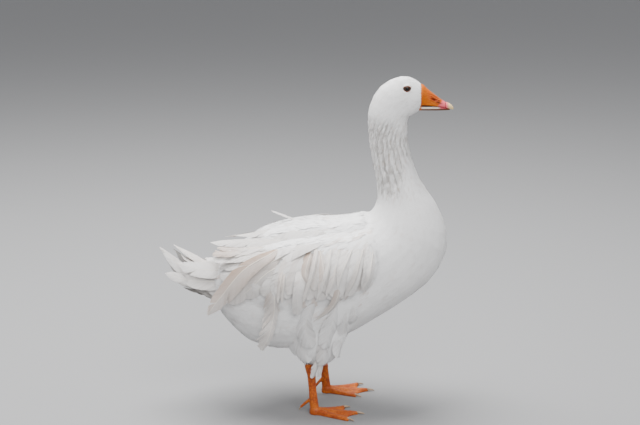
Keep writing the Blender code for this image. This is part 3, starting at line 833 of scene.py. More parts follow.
coats = {
    # each coat: where it grows, the gaps between its roots, the length and width of its tufts, the strands
    # and rows each is made of and where it splits, the stations along the skin, how far tufts stray and their
    # strands differ, bluntness, camber, rise at the root and tip, softness of the shading, and amounts of
    # buff and shade
    "head_coat": {
        "zone": lambda p: (p[:, 2] > 543) & ~onEye(p) & ~onBill(p),
        "seed": 11, "spacing": byEye((6, 1.2), (30, 1.7)), "length": byEye((6, 3.4), (20, 6.5), (45, 9)),
        "width": byEye((6, 1.5), (20, 2.4), (45, 3.2)), "strands": 3, "rows": 2, "split": 0.5,
        "stations": 3, "stray": 0.08, "ragged": 0.12, "spread": 0.08, "ruffle": 0.05, "round": 0.2,
        "camber": 0.08, "root": 0.55, "tip": 0.95, "soft": 0.4, "buff": fewBuff(0.1, 0.2), "shadow": 0.03,
        "fleck": 0.12,
    },
    "neck_coat": {
        "zone": lambda p: (p[:, 2] <= 548) & (p[:, 2] > 400),
        "seed": 12, "spacing": byHeight(400, 3.0, 545, 2.0), "length": byHeight(400, 19, 545, 11),
        "width": byHeight(400, 5.0, 545, 2.8), "strands": 3, "rows": 3, "split": 0.34, "stations": 4,
        "stray": 0.09, "ragged": 0.12, "spread": 0.06, "ruffle": 0.10, "round": 0.22, "camber": 0.10,
        "root": 0.5, "tip": 1.0, "soft": 0.6, "buff": fewBuff(0.2, 0.25), "shadow": 0.08, "fleck": 0.25,
        "groove": 1.5,
    },
    "breast_coat": {
        "zone": lambda p: (p[:, 2] <= 404) & (p[:, 0] > 40) & ~onBack(p) & ~onThigh(p) & ~onWing(p),
        "seed": 13, "spacing": byHeight(250, 4.4, 400, 3.2), "length": byHeight(250, 28, 400, 20),
        "width": byHeight(250, 11, 400, 7), "strands": 4, "rows": 4, "split": 0.5, "stations": 4,
        "stray": 0.06, "ragged": 0.05, "spread": 0.02, "ruffle": 0.02, "round": 0.25, "camber": 0.04,
        "root": 0.72, "tip": 1.0, "soft": 0.35, "buff": fewBuff(0.1, 0.15), "shadow": 0.04, "fleck": 0.10,
    },
    "belly_coat": {
        "zone": lambda p: (p[:, 2] <= 300) & (p[:, 0] <= 44) & ~onThigh(p) & ~onBack(p) & ~onWing(p),
        "seed": 14, "spacing": steady(5.0), "length": steady(34), "width": steady(13), "strands": 4,
        "rows": 4, "split": 0.5, "stations": 4, "stray": 0.10, "ragged": 0.08, "spread": 0.04,
        "ruffle": 0.05, "round": 0.2, "camber": 0.06, "root": 0.62, "tip": 1.0, "soft": 0.45,
        "buff": fewBuff(0.12, 0.25), "shadow": 0.04, "fleck": 0.12,
    },
    "back_coat": {
        "zone": onBack,
        "seed": 15, "spacing": steady(5.6), "length": steady(42), "width": steady(15), "strands": 4,
        "rows": 5, "split": 0.6, "stations": 5, "stray": 0.08, "ragged": 0.06, "spread": 0.05,
        "ruffle": 0.06, "round": 0.25, "camber": 0.10, "root": 0.5, "tip": 1.0, "soft": 0.5,
        "buff": fewBuff(0.1, 0.3), "shadow": 0.05, "fleck": 0.12,
    },
    "wing_coat": {
        "zone": onWing,
        "seed": 16, "spacing": steady(6.0), "length": steady(46), "width": steady(16), "strands": 4,
        "rows": 5, "split": 0.6, "stations": 5, "stray": 0.12, "ragged": 0.08, "spread": 0.06,
        "ruffle": 0.10, "round": 0.25, "camber": 0.14, "root": 0.4, "tip": 1.0, "soft": 0.6,
        "buff": fewBuff(0.3, 0.5), "shadow": 0.08, "fleck": 0.15,
    },
    "thigh_coat": {
        "zone": onThigh,
        "seed": 17, "spacing": steady(4.0), "length": steady(42), "width": steady(9), "strands": 3,
        "rows": 5, "split": 0.2, "stations": 4, "stray": 0.14, "ragged": 0.14, "spread": 0.12,
        "ruffle": 0.18, "round": 0.2, "camber": 0.12, "root": 0.3, "tip": 1.0, "soft": 0.6,
        "buff": fewBuff(0.15, 0.25), "shadow": 0.08, "fleck": 0.15,
    },
}
for coatName, coatRecipe in coats.items():
    growCoat(coatName, coatRecipe)


# The long feathers, each a shaft with two vanes of barbs that part here and there

feather = {
    # how a long feather of each kind is made: shaft thickness, rows of barbs a side, the rear vane's share of
    # the width, sweep of the barbs, how often and how far the vanes part, raggedness, dish across, twist,
    # curl of the barbs, bluntness of the tip and how far the rear edge stands out
    "broad": {
        "shaft": 0.3, "rows": 30, "lead": 0.50, "sweep": 0.9, "parts": 2, "open": 0.05, "ragged": 0.03,
        "dish": 0.11, "twist": 0.08, "curl": 0.02, "tip": 0.60, "tilt": 0.14,
    },
    "ribbon": {
        "shaft": 0.6, "rows": 30, "lead": 0.60, "sweep": 1.6, "parts": 2, "open": 0.08, "ragged": 0.06,
        "dish": 0.25, "twist": 0.30, "curl": 0.05, "tip": 0.45, "tilt": 0.2,
    },
    "soft": {
        "shaft": 0.2, "rows": 40, "lead": 0.50, "sweep": 1.5, "parts": 7, "open": 0.07, "ragged": 0.06,
        "dish": 0.35, "twist": 0.12, "curl": 0.05, "tip": 0.85, "tilt": 0.10,
    },
    "plume": {
        "shaft": 0.9, "rows": 46, "lead": 0.70, "sweep": 1.8, "parts": 22, "open": 0.28, "ragged": 0.07,
        "dish": 0.15, "twist": 0.06, "curl": 0.06, "tip": 0.60, "tilt": 0.1,
    },
    "quill": {
        "shaft": 0.9, "rows": 44, "lead": 0.42, "sweep": 1.5, "parts": 3, "open": 0.08, "ragged": 0.05,
        "dish": 0.12, "twist": 0.08, "curl": 0.03, "tip": 0.62, "tilt": 0.12,
    },
    "blade": {
        "shaft": 0.7, "rows": 44, "lead": 0.46, "sweep": 1.5, "parts": 3, "open": 0.08, "ragged": 0.05,
        "dish": 0.12, "twist": 0.06, "curl": 0.03, "tip": 0.34, "tilt": 0.12,
    },
    "frayed": {
        "shaft": 0.7, "rows": 48, "lead": 0.46, "sweep": 1.7, "parts": 13, "open": 0.30, "ragged": 0.22,
        "dish": 0.12, "twist": 0.08, "curl": 0.06, "tip": 0.60, "tilt": 0.12, "stain": 0.5,
    },
    "tail": {
        "shaft": 0.7, "rows": 40, "lead": 0.50, "sweep": 1.4, "parts": 3, "open": 0.10, "ragged": 0.06,
        "dish": 0.08, "twist": 0.06, "curl": 0.02, "tip": 0.5, "tilt": 0.0,
    },
}
shaftSizes = {"stations": 22, "columns": 3, "base": 0.95, "end": 0.18}
toneSizes = {"frontBuff": 0.6, "unevenBuff": 0.03, "streaks": 0.20, "patches": 0.10, "root": 0.07}


def through(points, share):
    # places at shares of the way along a smooth curve through the points
    points = np.asarray(points, float)
    ends = np.vstack([2 * points[0] - points[1], points, 2 * points[-1] - points[-2]])
    gaps = np.linalg.norm(np.diff(points, axis=0), axis=1)
    knots = np.concatenate([[0], np.cumsum(gaps)]) / gaps.sum()
    k = np.clip(np.searchsorted(knots, share, side="right") - 1, 0, len(gaps) - 1)
    t = ((share - knots[k]) / (knots[k + 1] - knots[k]))[..., None]
    a, b, c, d = (ends[k + i] for i in range(4))
    square, cube = 2 * a - 5 * b + 4 * c - d, 3 * b - a - 3 * c + d
    bent = 0.5 * (2 * b + (c - a) * t + square * t ** 2 + cube * t ** 3)
    straight = c + (c - b) * (t - 1)
    return np.where(t > 1, straight, bent)


def vaneOutline(t):
    # half the width of a long feather along its length, as a share of its widest
    return np.interp(t, (0, 0.06, 0.18, 0.35, 0.7, 1.0), (0.25, 0.5, 0.8, 1.0, 0.95, 0.8))


def vaneRows(count, parts, rng):
    # where the rows of barbs spring from the shaft, in clumps: share of the length, and clump
    cuts = np.sort(rng.uniform(0.15, 0.97, parts))
    edges = np.concatenate([[0.03], cuts, [0.985]])
    bases, clumps = [], []
    for k, (a, b) in enumerate(zip(edges, edges[1:])):
        rows = max(2, int(round(count * (b - a))))
        share = np.linspace(0, 1, rows)
        bases += list(a + (b - a) * share)
        clumps += [k] * rows
    return np.array(bases), np.array(clumps)


def shaftRail(given, tilt, twist):
    # gives the shaft's place, the feather's face and its side, at shares of its length
    path, facing = given["path"], given["facing"]
    spots = np.linspace(0, 1, len(facing))
    step = 0.01

    def railAt(share):
        ahead = unit(through(path, share + step) - through(path, share - step))
        face = np.stack([np.interp(np.clip(share, 0, 1), spots, facing[:, i]) for i in range(3)], -1)
        face = unit(face - ahead * (face * ahead).sum(-1, keepdims=True))
        side = np.cross(ahead, face)
        turn = (given["hand"] * tilt + twist * np.abs(share) ** 1.5)[..., None]
        turned = face * np.cos(turn) + side * np.sin(turn)
        return through(path, share), turned, side * np.cos(turn) - face * np.sin(turn)

    return railAt


def vaneReach(given, recipe, wide, tip, length, base, clump, rng):
    # how far each row of barbs reaches from the shaft, as the vane closes to its tip with a ragged edge
    full = given["width"] * wide * vaneOutline(base)
    closing = tip * (1.005 - base) * length / recipe["sweep"]
    byClump = rng.normal(0, recipe["ragged"], clump.max() + 1)[clump]
    byRow = rng.normal(0, recipe["ragged"] / 4, len(base))
    return (full ** -4 + closing ** -4) ** -0.25 * (1 + byClump + byRow)


def vaneTones(given, recipe, rear, share, q, clump, rng):
    # buff along the rear vane most, and shade in streaks from row to row
    clumps = clump.max() + 1
    tones = np.zeros(share.shape + (3,))
    buff = given["buff"] * (1.0 if rear else toneSizes["frontBuff"])
    buff = buff * np.interp(share, (0, 0.5, 1), (1.0, 0.9, 0.35))
    buff += recipe.get("stain", 0) * smoothStep(share, 0.66, 0.85)
    buff = buff * (0.75 + 0.25 * q) + rng.normal(0, toneSizes["unevenBuff"], clumps)[clump][:, None]
    streaks = np.abs(rng.normal(0, toneSizes["streaks"], len(share)))[:, None] * (0.3 + 0.7 * q)
    patches = np.abs(rng.normal(0, toneSizes["patches"], clumps))[clump][:, None]
    tones[..., 0] = np.clip(buff, 0, 1)
    tones[..., 1] = streaks + toneSizes["root"] * (1 - q) + patches
    return tones.reshape(-1, 3)


def growVane(given, recipe, railAt, length, tip, rear, rng):
    # one vane of barbs, as points, faces, directions, tones and vane map
    sign = -given["hand"] if rear else given["hand"]
    wide = recipe["lead"] if rear else 1 - recipe["lead"]
    base, clump = vaneRows(recipe["rows"], recipe["parts"], rng)
    clumps = clump.max() + 1
    reach = vaneReach(given, recipe, wide, tip, length, base, clump, rng)[:, None]
    lifted = rng.normal(0, recipe["curl"], clumps)[clump][:, None]
    opened = np.abs(rng.normal(0, recipe["open"], clumps))[clump][:, None]
    columns = shaftSizes["columns"]
    q = np.linspace(0, 1, columns + 1)[None]
    centres = np.array([base[clump == k].mean() for k in range(clumps)])[clump][:, None]
    share = centres + (base[:, None] - centres) * (1 - opened * q ** 1.5)
    share = share + recipe["sweep"] * (reach / length) * q ** 1.2
    place, face, side = railAt(share)
    across = (reach * q)[..., None]
    rise = (lifted * reach * q ** 2)[..., None] - recipe["dish"] * across * q[..., None]
    points = (place + sign * side * across + face * rise).reshape(-1, 3)
    shading = unit(face + sign * side * (2 * recipe["dish"] * q)[..., None]).reshape(-1, 3)
    tone = vaneTones(given, recipe, rear, share, q, clump, rng)
    beside, down = 0.5 + sign * 0.5 * q + 0 * share, 0 * q + base[:, None] * length / 100
    vane = np.stack([beside, down], -1).reshape(-1, 2)
    row = np.arange(len(base) - 1)[clump[:-1] == clump[1:]]
    a = row[:, None] * (columns + 1) + np.arange(columns)[None]
    quads = np.stack([a, a + 1, a + columns + 2, a + columns + 1], -1)
    faces = (quads if sign > 0 else quads[..., ::-1]).reshape(-1, 4)
    return [points, faces, shading, tone, vane]


def growShaft(given, recipe, railAt):
    # the shaft, a slim ridge that tapers to the tip, in the same five parts
    stations = shaftSizes["stations"]
    share = np.linspace(-0.02, 0.985, stations)
    place, face, side = railAt(share)
    thick = recipe["shaft"] * np.interp(share, (0, 1), (shaftSizes["base"], shaftSizes["end"]))[:, None]
    around = (side, face * 0.9, -side, -face * 0.5)
    points = np.stack([place + way * thick for way in around], 1).reshape(-1, 3)
    shading = unit(np.stack([side, face, -side, -face], 1)).reshape(-1, 3)
    tone = np.tile((given["buff"] * 0.5, 0.0, 1.0), (stations * 4, 1))
    vane = np.tile((0.5, 0.0), (stations * 4, 1))
    a = np.arange(stations - 1) * 4
    faces = [np.stack([a + k, a + 4 + k, a + 4 + (k + 1) % 4, a + (k + 1) % 4], -1) for k in range(4)]
    return [points, np.concatenate(faces), shading, tone, vane]


def joinSheets(sheets):
    # the same parts of several sheets one after another, with the faces counted on
    start = 0
    for sheet in sheets:
        sheet[1] = sheet[1] + start
        start += len(sheet[0])
    return [np.concatenate(group) for group in zip(*sheets)]


def growFeather(given, rng):
    recipe = feather[given["kind"]]
    length = np.linalg.norm(np.diff(through(given["path"], np.linspace(0, 1, 20)), axis=0), axis=1).sum()
    twist = rng.normal(0, recipe["twist"]) + given.get("twist", 0)
    tip = recipe["tip"] * rng.uniform(0.7, 1.2)
    railAt = shaftRail(given, given.get("tilt", recipe["tilt"]), twist)
    vanes = [growVane(given, recipe, railAt, length, tip, rear, rng) for rear in (True, False)]
    return joinSheets(vanes + [growShaft(given, recipe, railAt)])


def featherPiece(name, feathers, look, replaces, seed):
    # many long feathers as one mesh; each has its own cell on the OFBake map
    rng = np.random.default_rng(seed)
    cells = math.ceil(math.sqrt(len(feathers)))
    grown = []
    for i, given in enumerate(feathers):
        one = growFeather(given, rng)
        vane = one[4]
        inside = 0.04 + 0.92 * vane / (1, max(vane[:, 1].max(), 0.01))
        grown.append(one + [(np.array([i % cells, i // cells]) + inside) / cells])
    points, faces, shading, tone, vane, baked = joinSheets(grown)
    mesh = sheetMesh(name, points, faces, shading, {"OFBake": baked, "vane": vane}, tone)
    finishPiece(name, mesh, look, replaces)
    print(name, len(feathers), "feathers,", 2 * len(faces), "triangles")


def sideReach(x, z, side):
    # how far out the body's side lies at this place, or None where it isn't
    spot = skinTree.ray_cast(Vector((x, side * 400, z)), Vector((0, -side, 0)))[0]
    return side * spot.y if spot else None


def laidPath(stroke, lifts, side, shift=(0, 0)):
    # a path over the body's side from (x, z) marks, or (x, z, out) where the feather hangs clear of it
    spots = []
    for i, mark in enumerate(stroke):
        x, z = mark[0] + shift[0], mark[1] + shift[1]
        lift = lifts[0] + (lifts[1] - lifts[0]) * min(1, 2 * i / (len(stroke) - 1))
        out = mark[2] if len(mark) > 2 else (sideReach(x, z, side) or spots[-1][1] * side) + lift
        spots.append((x, side * out, z))
    return np.array(spots, float)


def facingAlong(path, clear):
    # which way a feather faces: out of the body, and more to the side where it runs clear of the back
    share = np.linspace(0, 1, 6)
    _, outs = nearestSkin(through(path, share))
    flare = (0.0, -0.8, 0.8) if path[-1][1] < 0 else (0.0, 0.4, 1.2)
    outs = unit(outs + clear * share[:, None] * np.array(flare))
    for _ in range(2):
        outs[1:-1] = unit(outs[:-2] + outs[1:-1] * 2 + outs[2:])
    return outs


# The feathers of one wing's side, from the back ones to the front ones: kind, width, buff, lifts over the
# skin at the root and the tip, and marks along the shaft as (x, z), or (x, z, out) clear of the skin
wingStrokes = [
    ("quill", 32, 0.35, (3, 12), [
        (-52, 290), (-80, 281, 104), (-98, 267, 106), (-115, 249, 104), (-136, 230, 96),
    ]),
    ("quill", 34, 0.55, (3, 13), [
        (-58, 300), (-84, 293, 100), (-105, 278, 101), (-125, 258, 101), (-141, 238, 97), (-157, 216, 91),
    ]),
    ("quill", 34, 1.00, (3, 15), [
        (-62, 314), (-89, 304, 95), (-112, 292, 98), (-132, 277, 99), (-150, 256, 98), (-167, 233, 94),
        (-182, 213, 90), (-195, 192, 85),
    ]),
    ("broad", 28, 0.05, (2, 10), [(-48, 286), (-82, 262), (-108, 245), (-128, 236, 92)]),
    ("broad", 28, 0.05, (2, 12), [(-36, 296), (-66, 272), (-84, 252), (-94, 236)]),
    ("broad", 30, 0.05, (2, 12), [(-24, 308), (-52, 288), (-66, 262), (-74, 234)]),
    ("broad", 30, 0.05, (2, 13), [(-10, 314), (-36, 294), (-48, 264), (-54, 232)]),
    ("broad", 30, 0.05, (2, 13), [(4, 316), (-18, 294), (-28, 264), (-34, 231)]),
    ("broad", 30, 0.10, (2, 13), [(18, 318), (0, 294), (-8, 264), (-15, 230)]),
    ("broad", 30, 0.08, (2, 13), [(34, 320), (20, 296), (12, 266), (5, 229)]),
    ("broad", 30, 0.05, (2, 12), [(52, 320), (40, 296), (32, 266), (24, 229)]),
    ("broad", 30, 0.05, (2, 11), [(70, 320), (60, 296), (52, 266), (43, 231)]),
    ("broad", 30, 0.05, (2, 10), [(88, 320), (78, 296), (70, 268), (62, 236)]),
    ("broad", 24, 0.05, (2, 10), [(-30, 322), (-74, 306), (-108, 284), (-136, 262, 90)]),
    ("broad", 22, 0.20, (2, 14), [(-24, 316), (-50, 292), (-62, 264), (-68, 238)]),
    ("broad", 22, 0.25, (2, 14), [(-8, 322), (-30, 298), (-42, 268), (-50, 240)]),
    ("broad", 20, 0.10, (2, 18), [(-8, 314), (-24, 286), (-31, 256), (-34, 228), (-35, 203)]),
    ("broad", 22, 0.45, (2, 14), [(18, 328), (4, 304), (-2, 276), (-6, 248)]),
    ("broad", 20, 0.30, (2, 14), [(32, 327), (24, 302), (17, 274), (10, 246)]),
    ("broad", 21, 0.10, (2, 15), [(47, 328), (36, 304), (31, 272), (26, 236)]),
    ("broad", 22, 0.05, (2, 14), [(62, 330), (50, 302), (44, 272), (38, 234)]),
    ("broad", 23, 0.05, (2, 14), [(77, 331), (71, 302), (64, 270), (57, 236)]),
    ("broad", 22, 0.05, (2, 12), [(96, 328), (93, 301), (90, 273), (82, 242)]),
    ("ribbon", 8, 0.50, (4, 17), [(-54, 296), (-60, 280), (-64, 260), (-68, 226)]),
    ("ribbon", 7, 0.45, (4, 17), [(-46, 294), (-55, 278), (-59, 255), (-61, 224)]),
    ("ribbon", 15, 1.00, (4, 16), [(1, 328), (-14, 302), (-20, 278), (-13, 258)]),
    ("ribbon", 8, 0.25, (4, 19), [(-1, 327), (-1, 311), (-5, 289), (-14, 260), (-24, 228)]),
    ("ribbon", 13, 0.75, (4, 16), [(2, 322), (9, 298), (11, 274), (2, 246)]),
    ("ribbon", 9, 0.15, (4, 19), [(30, 328), (23, 308), (19, 285), (11, 260), (-1, 228)]),
    ("ribbon", 10, 0.15, (4, 17), [(64, 318), (52, 297), (42, 277), (36, 252)]),
    ("ribbon", 11, 0.25, (4, 15), [(84, 322), (74, 294), (65, 266), (48, 232)]),
    ("ribbon", 9, 0.15, (4, 15), [(100, 318), (95, 292), (90, 270), (80, 246)]),
    ("ribbon", 11, 0.30, (4, 17), [(42, 322), (34, 296), (28, 266), (14, 236)]),
    ("ribbon", 14, 0.60, (4, 14), [(50, 300), (42, 272), (37, 240), (24, 212), (-8, 187)]),
    ("plume", 26, 0.35, (4, 14), [
        (-56, 300), (-70, 266), (-74, 233), (-76, 202), (-84, 166, 116), (-99, 134, 106),
    ]),
]
# The feathers of the shoulder and back that sweep to the tail, in the same way
backStrokes = [
    ("broad", 28, 0.05, (2, 8), [(60, 343), (10, 345), (-40, 338), (-84, 326)]),
    ("broad", 26, 0.05, (2, 8), [(40, 340), (0, 339), (-50, 330), (-100, 315)]),
    ("quill", 26, 0.15, (3, 10), [
        (-61, 304), (-109, 292, 88), (-132, 281, 82), (-152, 270, 76), (-174, 260, 64),
    ]),
    ("quill", 26, 0.15, (3, 10), [
        (-50, 310), (-89, 303, 84), (-118, 293, 80), (-148, 283, 70), (-176, 272, 58),
    ]),
    ("quill", 24, 0.20, (3, 10), [(-30, 316), (-72, 312), (-109, 303, 76), (-148, 294, 62), (-188, 287, 50)]),
    ("frayed", 20, 0.50, (3, 10), [
        (-18, 321), (-72, 312), (-119, 304, 66), (-158, 300, 54), (-188, 296, 44),
    ]),
    ("frayed", 22, 0.30, (3, 10), [(-1, 328), (-50, 319), (-109, 310, 62), (-149, 306, 46), (-181, 305, 36)]),
    ("blade", 24, 0.15, (3, 10), [(3, 332), (-50, 324), (-110, 318, 44), (-149, 314, 34), (-194, 311, 24)]),
    ("blade", 26, 0.05, (2, 9), [(10, 338), (-40, 334), (-90, 331, 28), (-120, 325, 20), (-152, 321, 10)]),
    ("broad", 24, 0.10, (2, 9), [(40, 332), (-6, 326), (-60, 312), (-104, 296)]),
    ("broad", 22, 0.15, (2, 10), [(20, 333), (-30, 322), (-76, 303), (-118, 280)]),
    ("broad", 26, 0.05, (2, 10), [(64, 334), (24, 330), (-20, 318), (-62, 298)]),
]
# The long soft feathers over one thigh, in the same way
thighStrokes = [
    ("soft", 34, 0.05, (2, 5), [(-30, 196), (-42, 170), (-44, 142), (-34, 116, 78)]),
    ("soft", 34, 0.05, (3, 6), [(34, 196), (36, 166), (34, 138), (26, 112, 78)]),
    ("soft", 36, 0.05, (4, 8), [(-12, 214), (-26, 186), (-29, 146), (-16, 104, 84)]),
    ("soft", 26, 0.20, (5, 9), [(10, 196), (12, 168), (12, 134), (10, 100, 86)]),
    ("soft", 34, 0.05, (5, 9), [(54, 214), (50, 186), (45, 150), (36, 114, 86)]),
    ("soft", 36, 0.05, (7, 12), [(-3, 226), (-16, 200), (-19, 168), (-9, 136)]),
    ("soft", 32, 0.05, (7, 12), [(34, 226), (29, 194), (21, 162), (13, 133)]),
    ("soft", 24, 0.05, (5, 9), [(62, 224), (67, 204), (66, 182), (56, 154)]),
    ("soft", 12, 0.30, (6, 8), [(2, 120, 80), (-1, 104, 82), (-4, 90, 82), (-8, 74, 80)]),
    ("soft", 10, 0.30, (6, 8), [(8, 116, 80), (7, 102, 82), (6, 90, 81), (3, 76, 79)]),
]


def givenFeather(kind, path, facing, width, buff, hand, **more):
    return {"kind": kind, "path": path, "facing": facing, "width": width, "buff": buff, "hand": hand, **more}


def strayFeather():
    # the one that stands up off the back
    path = np.array([(-24, 0, 342), (-48, 0, 351), (-66, 0, 358), (-83, 0, 365)], float)
    facing = unit(np.array([(0.3, -0.3, 1.0)] * 2))
    return givenFeather("ribbon", path, facing, 7, 0.0, sides["r"])


def wingFeathers(key, seed):
    rng = np.random.default_rng(seed)
    left = key == "l"  # this wing lies a little differently
    grown = []
    for i, (kind, width, buff, lifts, stroke) in enumerate(wingStrokes + backStrokes):
        onTop = i >= len(wingStrokes)
        shift = left * rng.normal(0, 3, 2)
        if left and onTop:
            # the left shoulder's feathers end a little further forwards and lower
            stroke = [(max(x, 0.8 * x - 20), z - 8 * (x < -84), *out) for x, z, *out in stroke]
        path = laidPath(stroke, lifts, sides[key], shift)
        facing = facingAlong(path, onTop)
        twist = rng.normal(0, 0.2) * left
        tilt = -0.2 if onTop else 0.14
        grown.append(givenFeather(kind, path, facing, width, buff, sides[key], twist=twist, tilt=tilt))
    return grown if left else grown + [strayFeather()]


for key in sides:
    spare = [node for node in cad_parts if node.startswith("plume_" + key)]
    spare += [f"{part}_{key}" for part in ("primaries", "secondaries", "tertials")]
    featherPiece("wing_feathers_" + key, wingFeathers(key, 31), quillWhite, spare, 41)


def thighFeathers(seed):
    rng = np.random.default_rng(seed)
    grown = []
    for key, side in sides.items():
        for kind, width, buff, lifts, stroke in thighStrokes:
            shift = (0, 0) if key == "r" else rng.normal(0, 4, 2) + (leftLegAhead, 0)
            path = laidPath(stroke, lifts, side, shift)
            facing = facingAlong(path, False)
            grown.append(givenFeather(kind, path, facing, width, buff, side))
    return grown


featherPiece("thigh_feathers", thighFeathers(61), softLightenedWhite, [], 62)


# The tail's right half, from its edge to its middle and then the shorter feathers round their bases: kind,
# width, buff, and marks along the shaft as (x, z, out)
tailStrokes = [
    ("tail", 18, 0.10, [(-150, 232, 38), (-187, 232, 44), (-220, 242, 46), (-246, 250, 47), (-268, 258, 46)]),
    ("tail", 20, 0.10, [(-150, 238, 38), (-187, 238, 44), (-220, 246, 46), (-250, 254, 47), (-274, 263, 46)]),
    ("blade", 20, 0.10, [
        (-160, 240, 30), (-205, 245, 34), (-231, 253, 33), (-251, 264, 30), (-270, 285, 26),
    ]),
    ("blade", 26, 0.10, [
        (-160, 246, 26), (-208, 250, 30), (-239, 264, 30), (-261, 283, 26), (-282, 303, 20),
    ]),
    ("tail", 20, 0.40, [(-150, 258, 12), (-196, 265, 14), (-218, 273, 14), (-234, 279, 14), (-247, 287, 14)]),
    ("blade", 27, 0.25, [(-150, 258, 6), (-197, 267, 8), (-218, 279, 9), (-240, 292, 9), (-258, 304, 10)]),
    ("tail", 34, 0.05, [(-110, 220, 50), (-160, 229, 50), (-204, 240, 46)]),
    ("tail", 34, 0.05, [(-140, 200, 8), (-176, 206, 9), (-210, 221, 8), (-238, 241, 6)]),
    ("tail", 34, 0.05, [(-140, 204, 22), (-176, 212, 24), (-208, 227, 22), (-236, 245, 18)]),
    ("tail", 32, 0.05, [(-140, 213, 36), (-180, 222, 38), (-214, 235, 34), (-240, 250, 30)]),
    ("tail", 34, 0.05, [(-186, 224, 1), (-216, 229, 1), (-240, 246, 1), (-252, 268, 1)]),
    ("tail", 40, 0.05, [(-188, 214, 5), (-220, 222, 5), (-243, 238, 5), (-256, 256, 5)]),
    ("tail", 30, 0.05, [(-170, 278, 5), (-205, 270, 7), (-236, 264, 7)]),
    ("tail", 30, 0.05, [(-184, 226, 6), (-214, 232, 8), (-236, 244, 8), (-250, 262, 8)]),
    ("tail", 30, 0.05, [(-180, 230, 20), (-210, 236, 22), (-234, 246, 20), (-250, 264, 18)]),
    ("tail", 28, 0.05, [(-150, 252, 18), (-200, 261, 22), (-243, 273, 24)]),
    ("tail", 28, 0.05, [(-150, 244, 28), (-200, 252, 34), (-240, 262, 38)]),
    ("tail", 36, 0.05, [(-120, 240, 48), (-166, 246, 50), (-205, 247, 52), (-240, 250, 48)]),
    ("tail", 32, 0.05, [(-120, 262, 44), (-166, 265, 44), (-194, 266, 44), (-220, 269, 44), (-250, 277, 40)]),
    ("tail", 30, 0.05, [(-130, 276, 24), (-170, 272, 26), (-206, 274, 28)]),
    ("tail", 30, 0.05, [(-130, 284, 8), (-168, 276, 9), (-202, 280, 8)]),
]


def tailFeathers(seed):
    rng = np.random.default_rng(seed)
    grown = []
    for side in sides.values():
        for kind, width, buff, stroke in tailStrokes:
            path = np.array([(x, side * out, z) for x, z, out in stroke], float)
            path[1:] += rng.normal(0, 1.5, 3)
            if side > 0:
                # the left half is folded shorter and lies lower
                path[1:] = path[1:] * (0.85, 1, 1) + (-22, 0, -15)
            lean = path[-1][1] / 45
            facing = unit(np.array([(0.2, 1.5 * lean, 1.0)] * 2))
            grown.append(givenFeather(kind, path, facing, width, buff, side))
    return grown


featherPiece("tail_feathers", tailFeathers(51), quillWhite, ["tail"], 52)


# The bill: the upper half, its nail, the lower half and the comb of fine plates along the upper edge

bill = {
    "voxel": 0.65, "edge": 556.8, "edgeFrom": (188, 196), "mark": (215.5, 562.5), "nailEdge": 228,
    "rootX": 181.5, "rootZ": 548.0, "rootLean": 0.188, "rootSoft": 9, "upperIn": 6.0, "lowerIn": 3.0,
    "cover": 0.35, "widens": 13.0, "widensAbove": (556, 562),
}
nostril = {"x": 206.5, "z": 568.2, "slant": -0.45, "length": 4.6, "height": 1.5, "depth": 2.6}
plate = {
    # the comb's plates a side, where they stand, and each one's size, taper and rounding
    "count": 22, "first": 200.0, "last": 226.0, "inside": 2.3, "edge": 557.5, "middle": 555.4,
    "size": (0.9, 2.2, 2.6), "taper": 0.45, "round": 0.18,
}


def slanted(points):
    # along and across the nostril's slot, in millimetres
    dx, dz = points[:, 0] - nostril["x"], points[:, 2] - nostril["z"]
    c, s = math.cos(nostril["slant"]), math.sin(nostril["slant"])
    return dx * c + dz * s, dz * c - dx * s


def wrinkles(points):
    # creases of the soft skin round and above the nostril
    along, across = slanted(points)
    zone = bump(along, 1, 11) * bump(across, 3.5, 7) * smoothStep(np.abs(points[:, 1]), 1.5, 5)
    waver = 0.8 * np.sin(along / 3.1) + 0.5 * np.sin(along / 1.3 + points[:, 2])
    return zone * (np.cos(across * 2 * math.pi / 3.3 + waver) - 0.2)


def grainAt(points, scale):
    return np.array([noise.noise(Vector(p) * scale) for p in points])


def upperBillShape(points, normals):
    along, across = slanted(points)
    slot = bump(along, 0, nostril["length"]) * bump(across, 0, nostril["height"])
    rim = bump(np.hypot(along / nostril["length"], across / nostril["height"]), 1.5, 0.4)
    edge = bump(points[:, 2], bill["edge"], 1.5) * smoothStep(points[:, 0], *bill["edgeFrom"])
    height = 0.6 * rim - nostril["depth"] * slot + 0.6 * wrinkles(points) * (1 - slot)
    height += 0.35 * edge + 0.14 * grainAt(points, 0.5) + 0.08 * grainAt(points, 1.4)
    # painted shade: darker in the hollows of the wrinkles and along a crease above the nostril
    creaseShade = np.clip(-wrinkles(points) * 1.6, 0, 1) + 0.8 * bump(across, 6.6, 0.8) * bump(along, -5, 6)
    # brown marks: a short sloping bar ahead of the nostril and a spot at its end
    dx, dz = points[:, 0] - bill["mark"][0], points[:, 2] - bill["mark"][1]
    marks = bump(dx, 0, 4.5) * bump(dz + 0.3 * dx, 0, 1.2)
    marks += 0.8 * bump(along, 9, 1.8) * bump(across, 1.5, 1.2)
    # the dark mask paints shade into the nostril's slot and its creases
    return height, {
        "red": np.clip(rim * 0.6 + wrinkles(points), 0, 1), "dark": np.clip(slot + 0.5 * creaseShade, 0, 1),
        "brown": np.clip(marks, 0, 1),
    }


def nailShape(points, normals):
    ridge = bump(points[:, 1], 0, 5) * 0.5
    return ridge - 0.5 * bump(points[:, 0], bill["nailEdge"], 1.2) + 0.06 * grainAt(points, 1.0), {}


def lowerBillShape(points, normals):
    channel = bump(np.abs(points[:, 1]), 0, 3.0) * smoothStep(-normals[:, 2], 0.5, 0.9)
    return 0.10 * grainAt(points, 0.8) - 0.8 * channel, {}


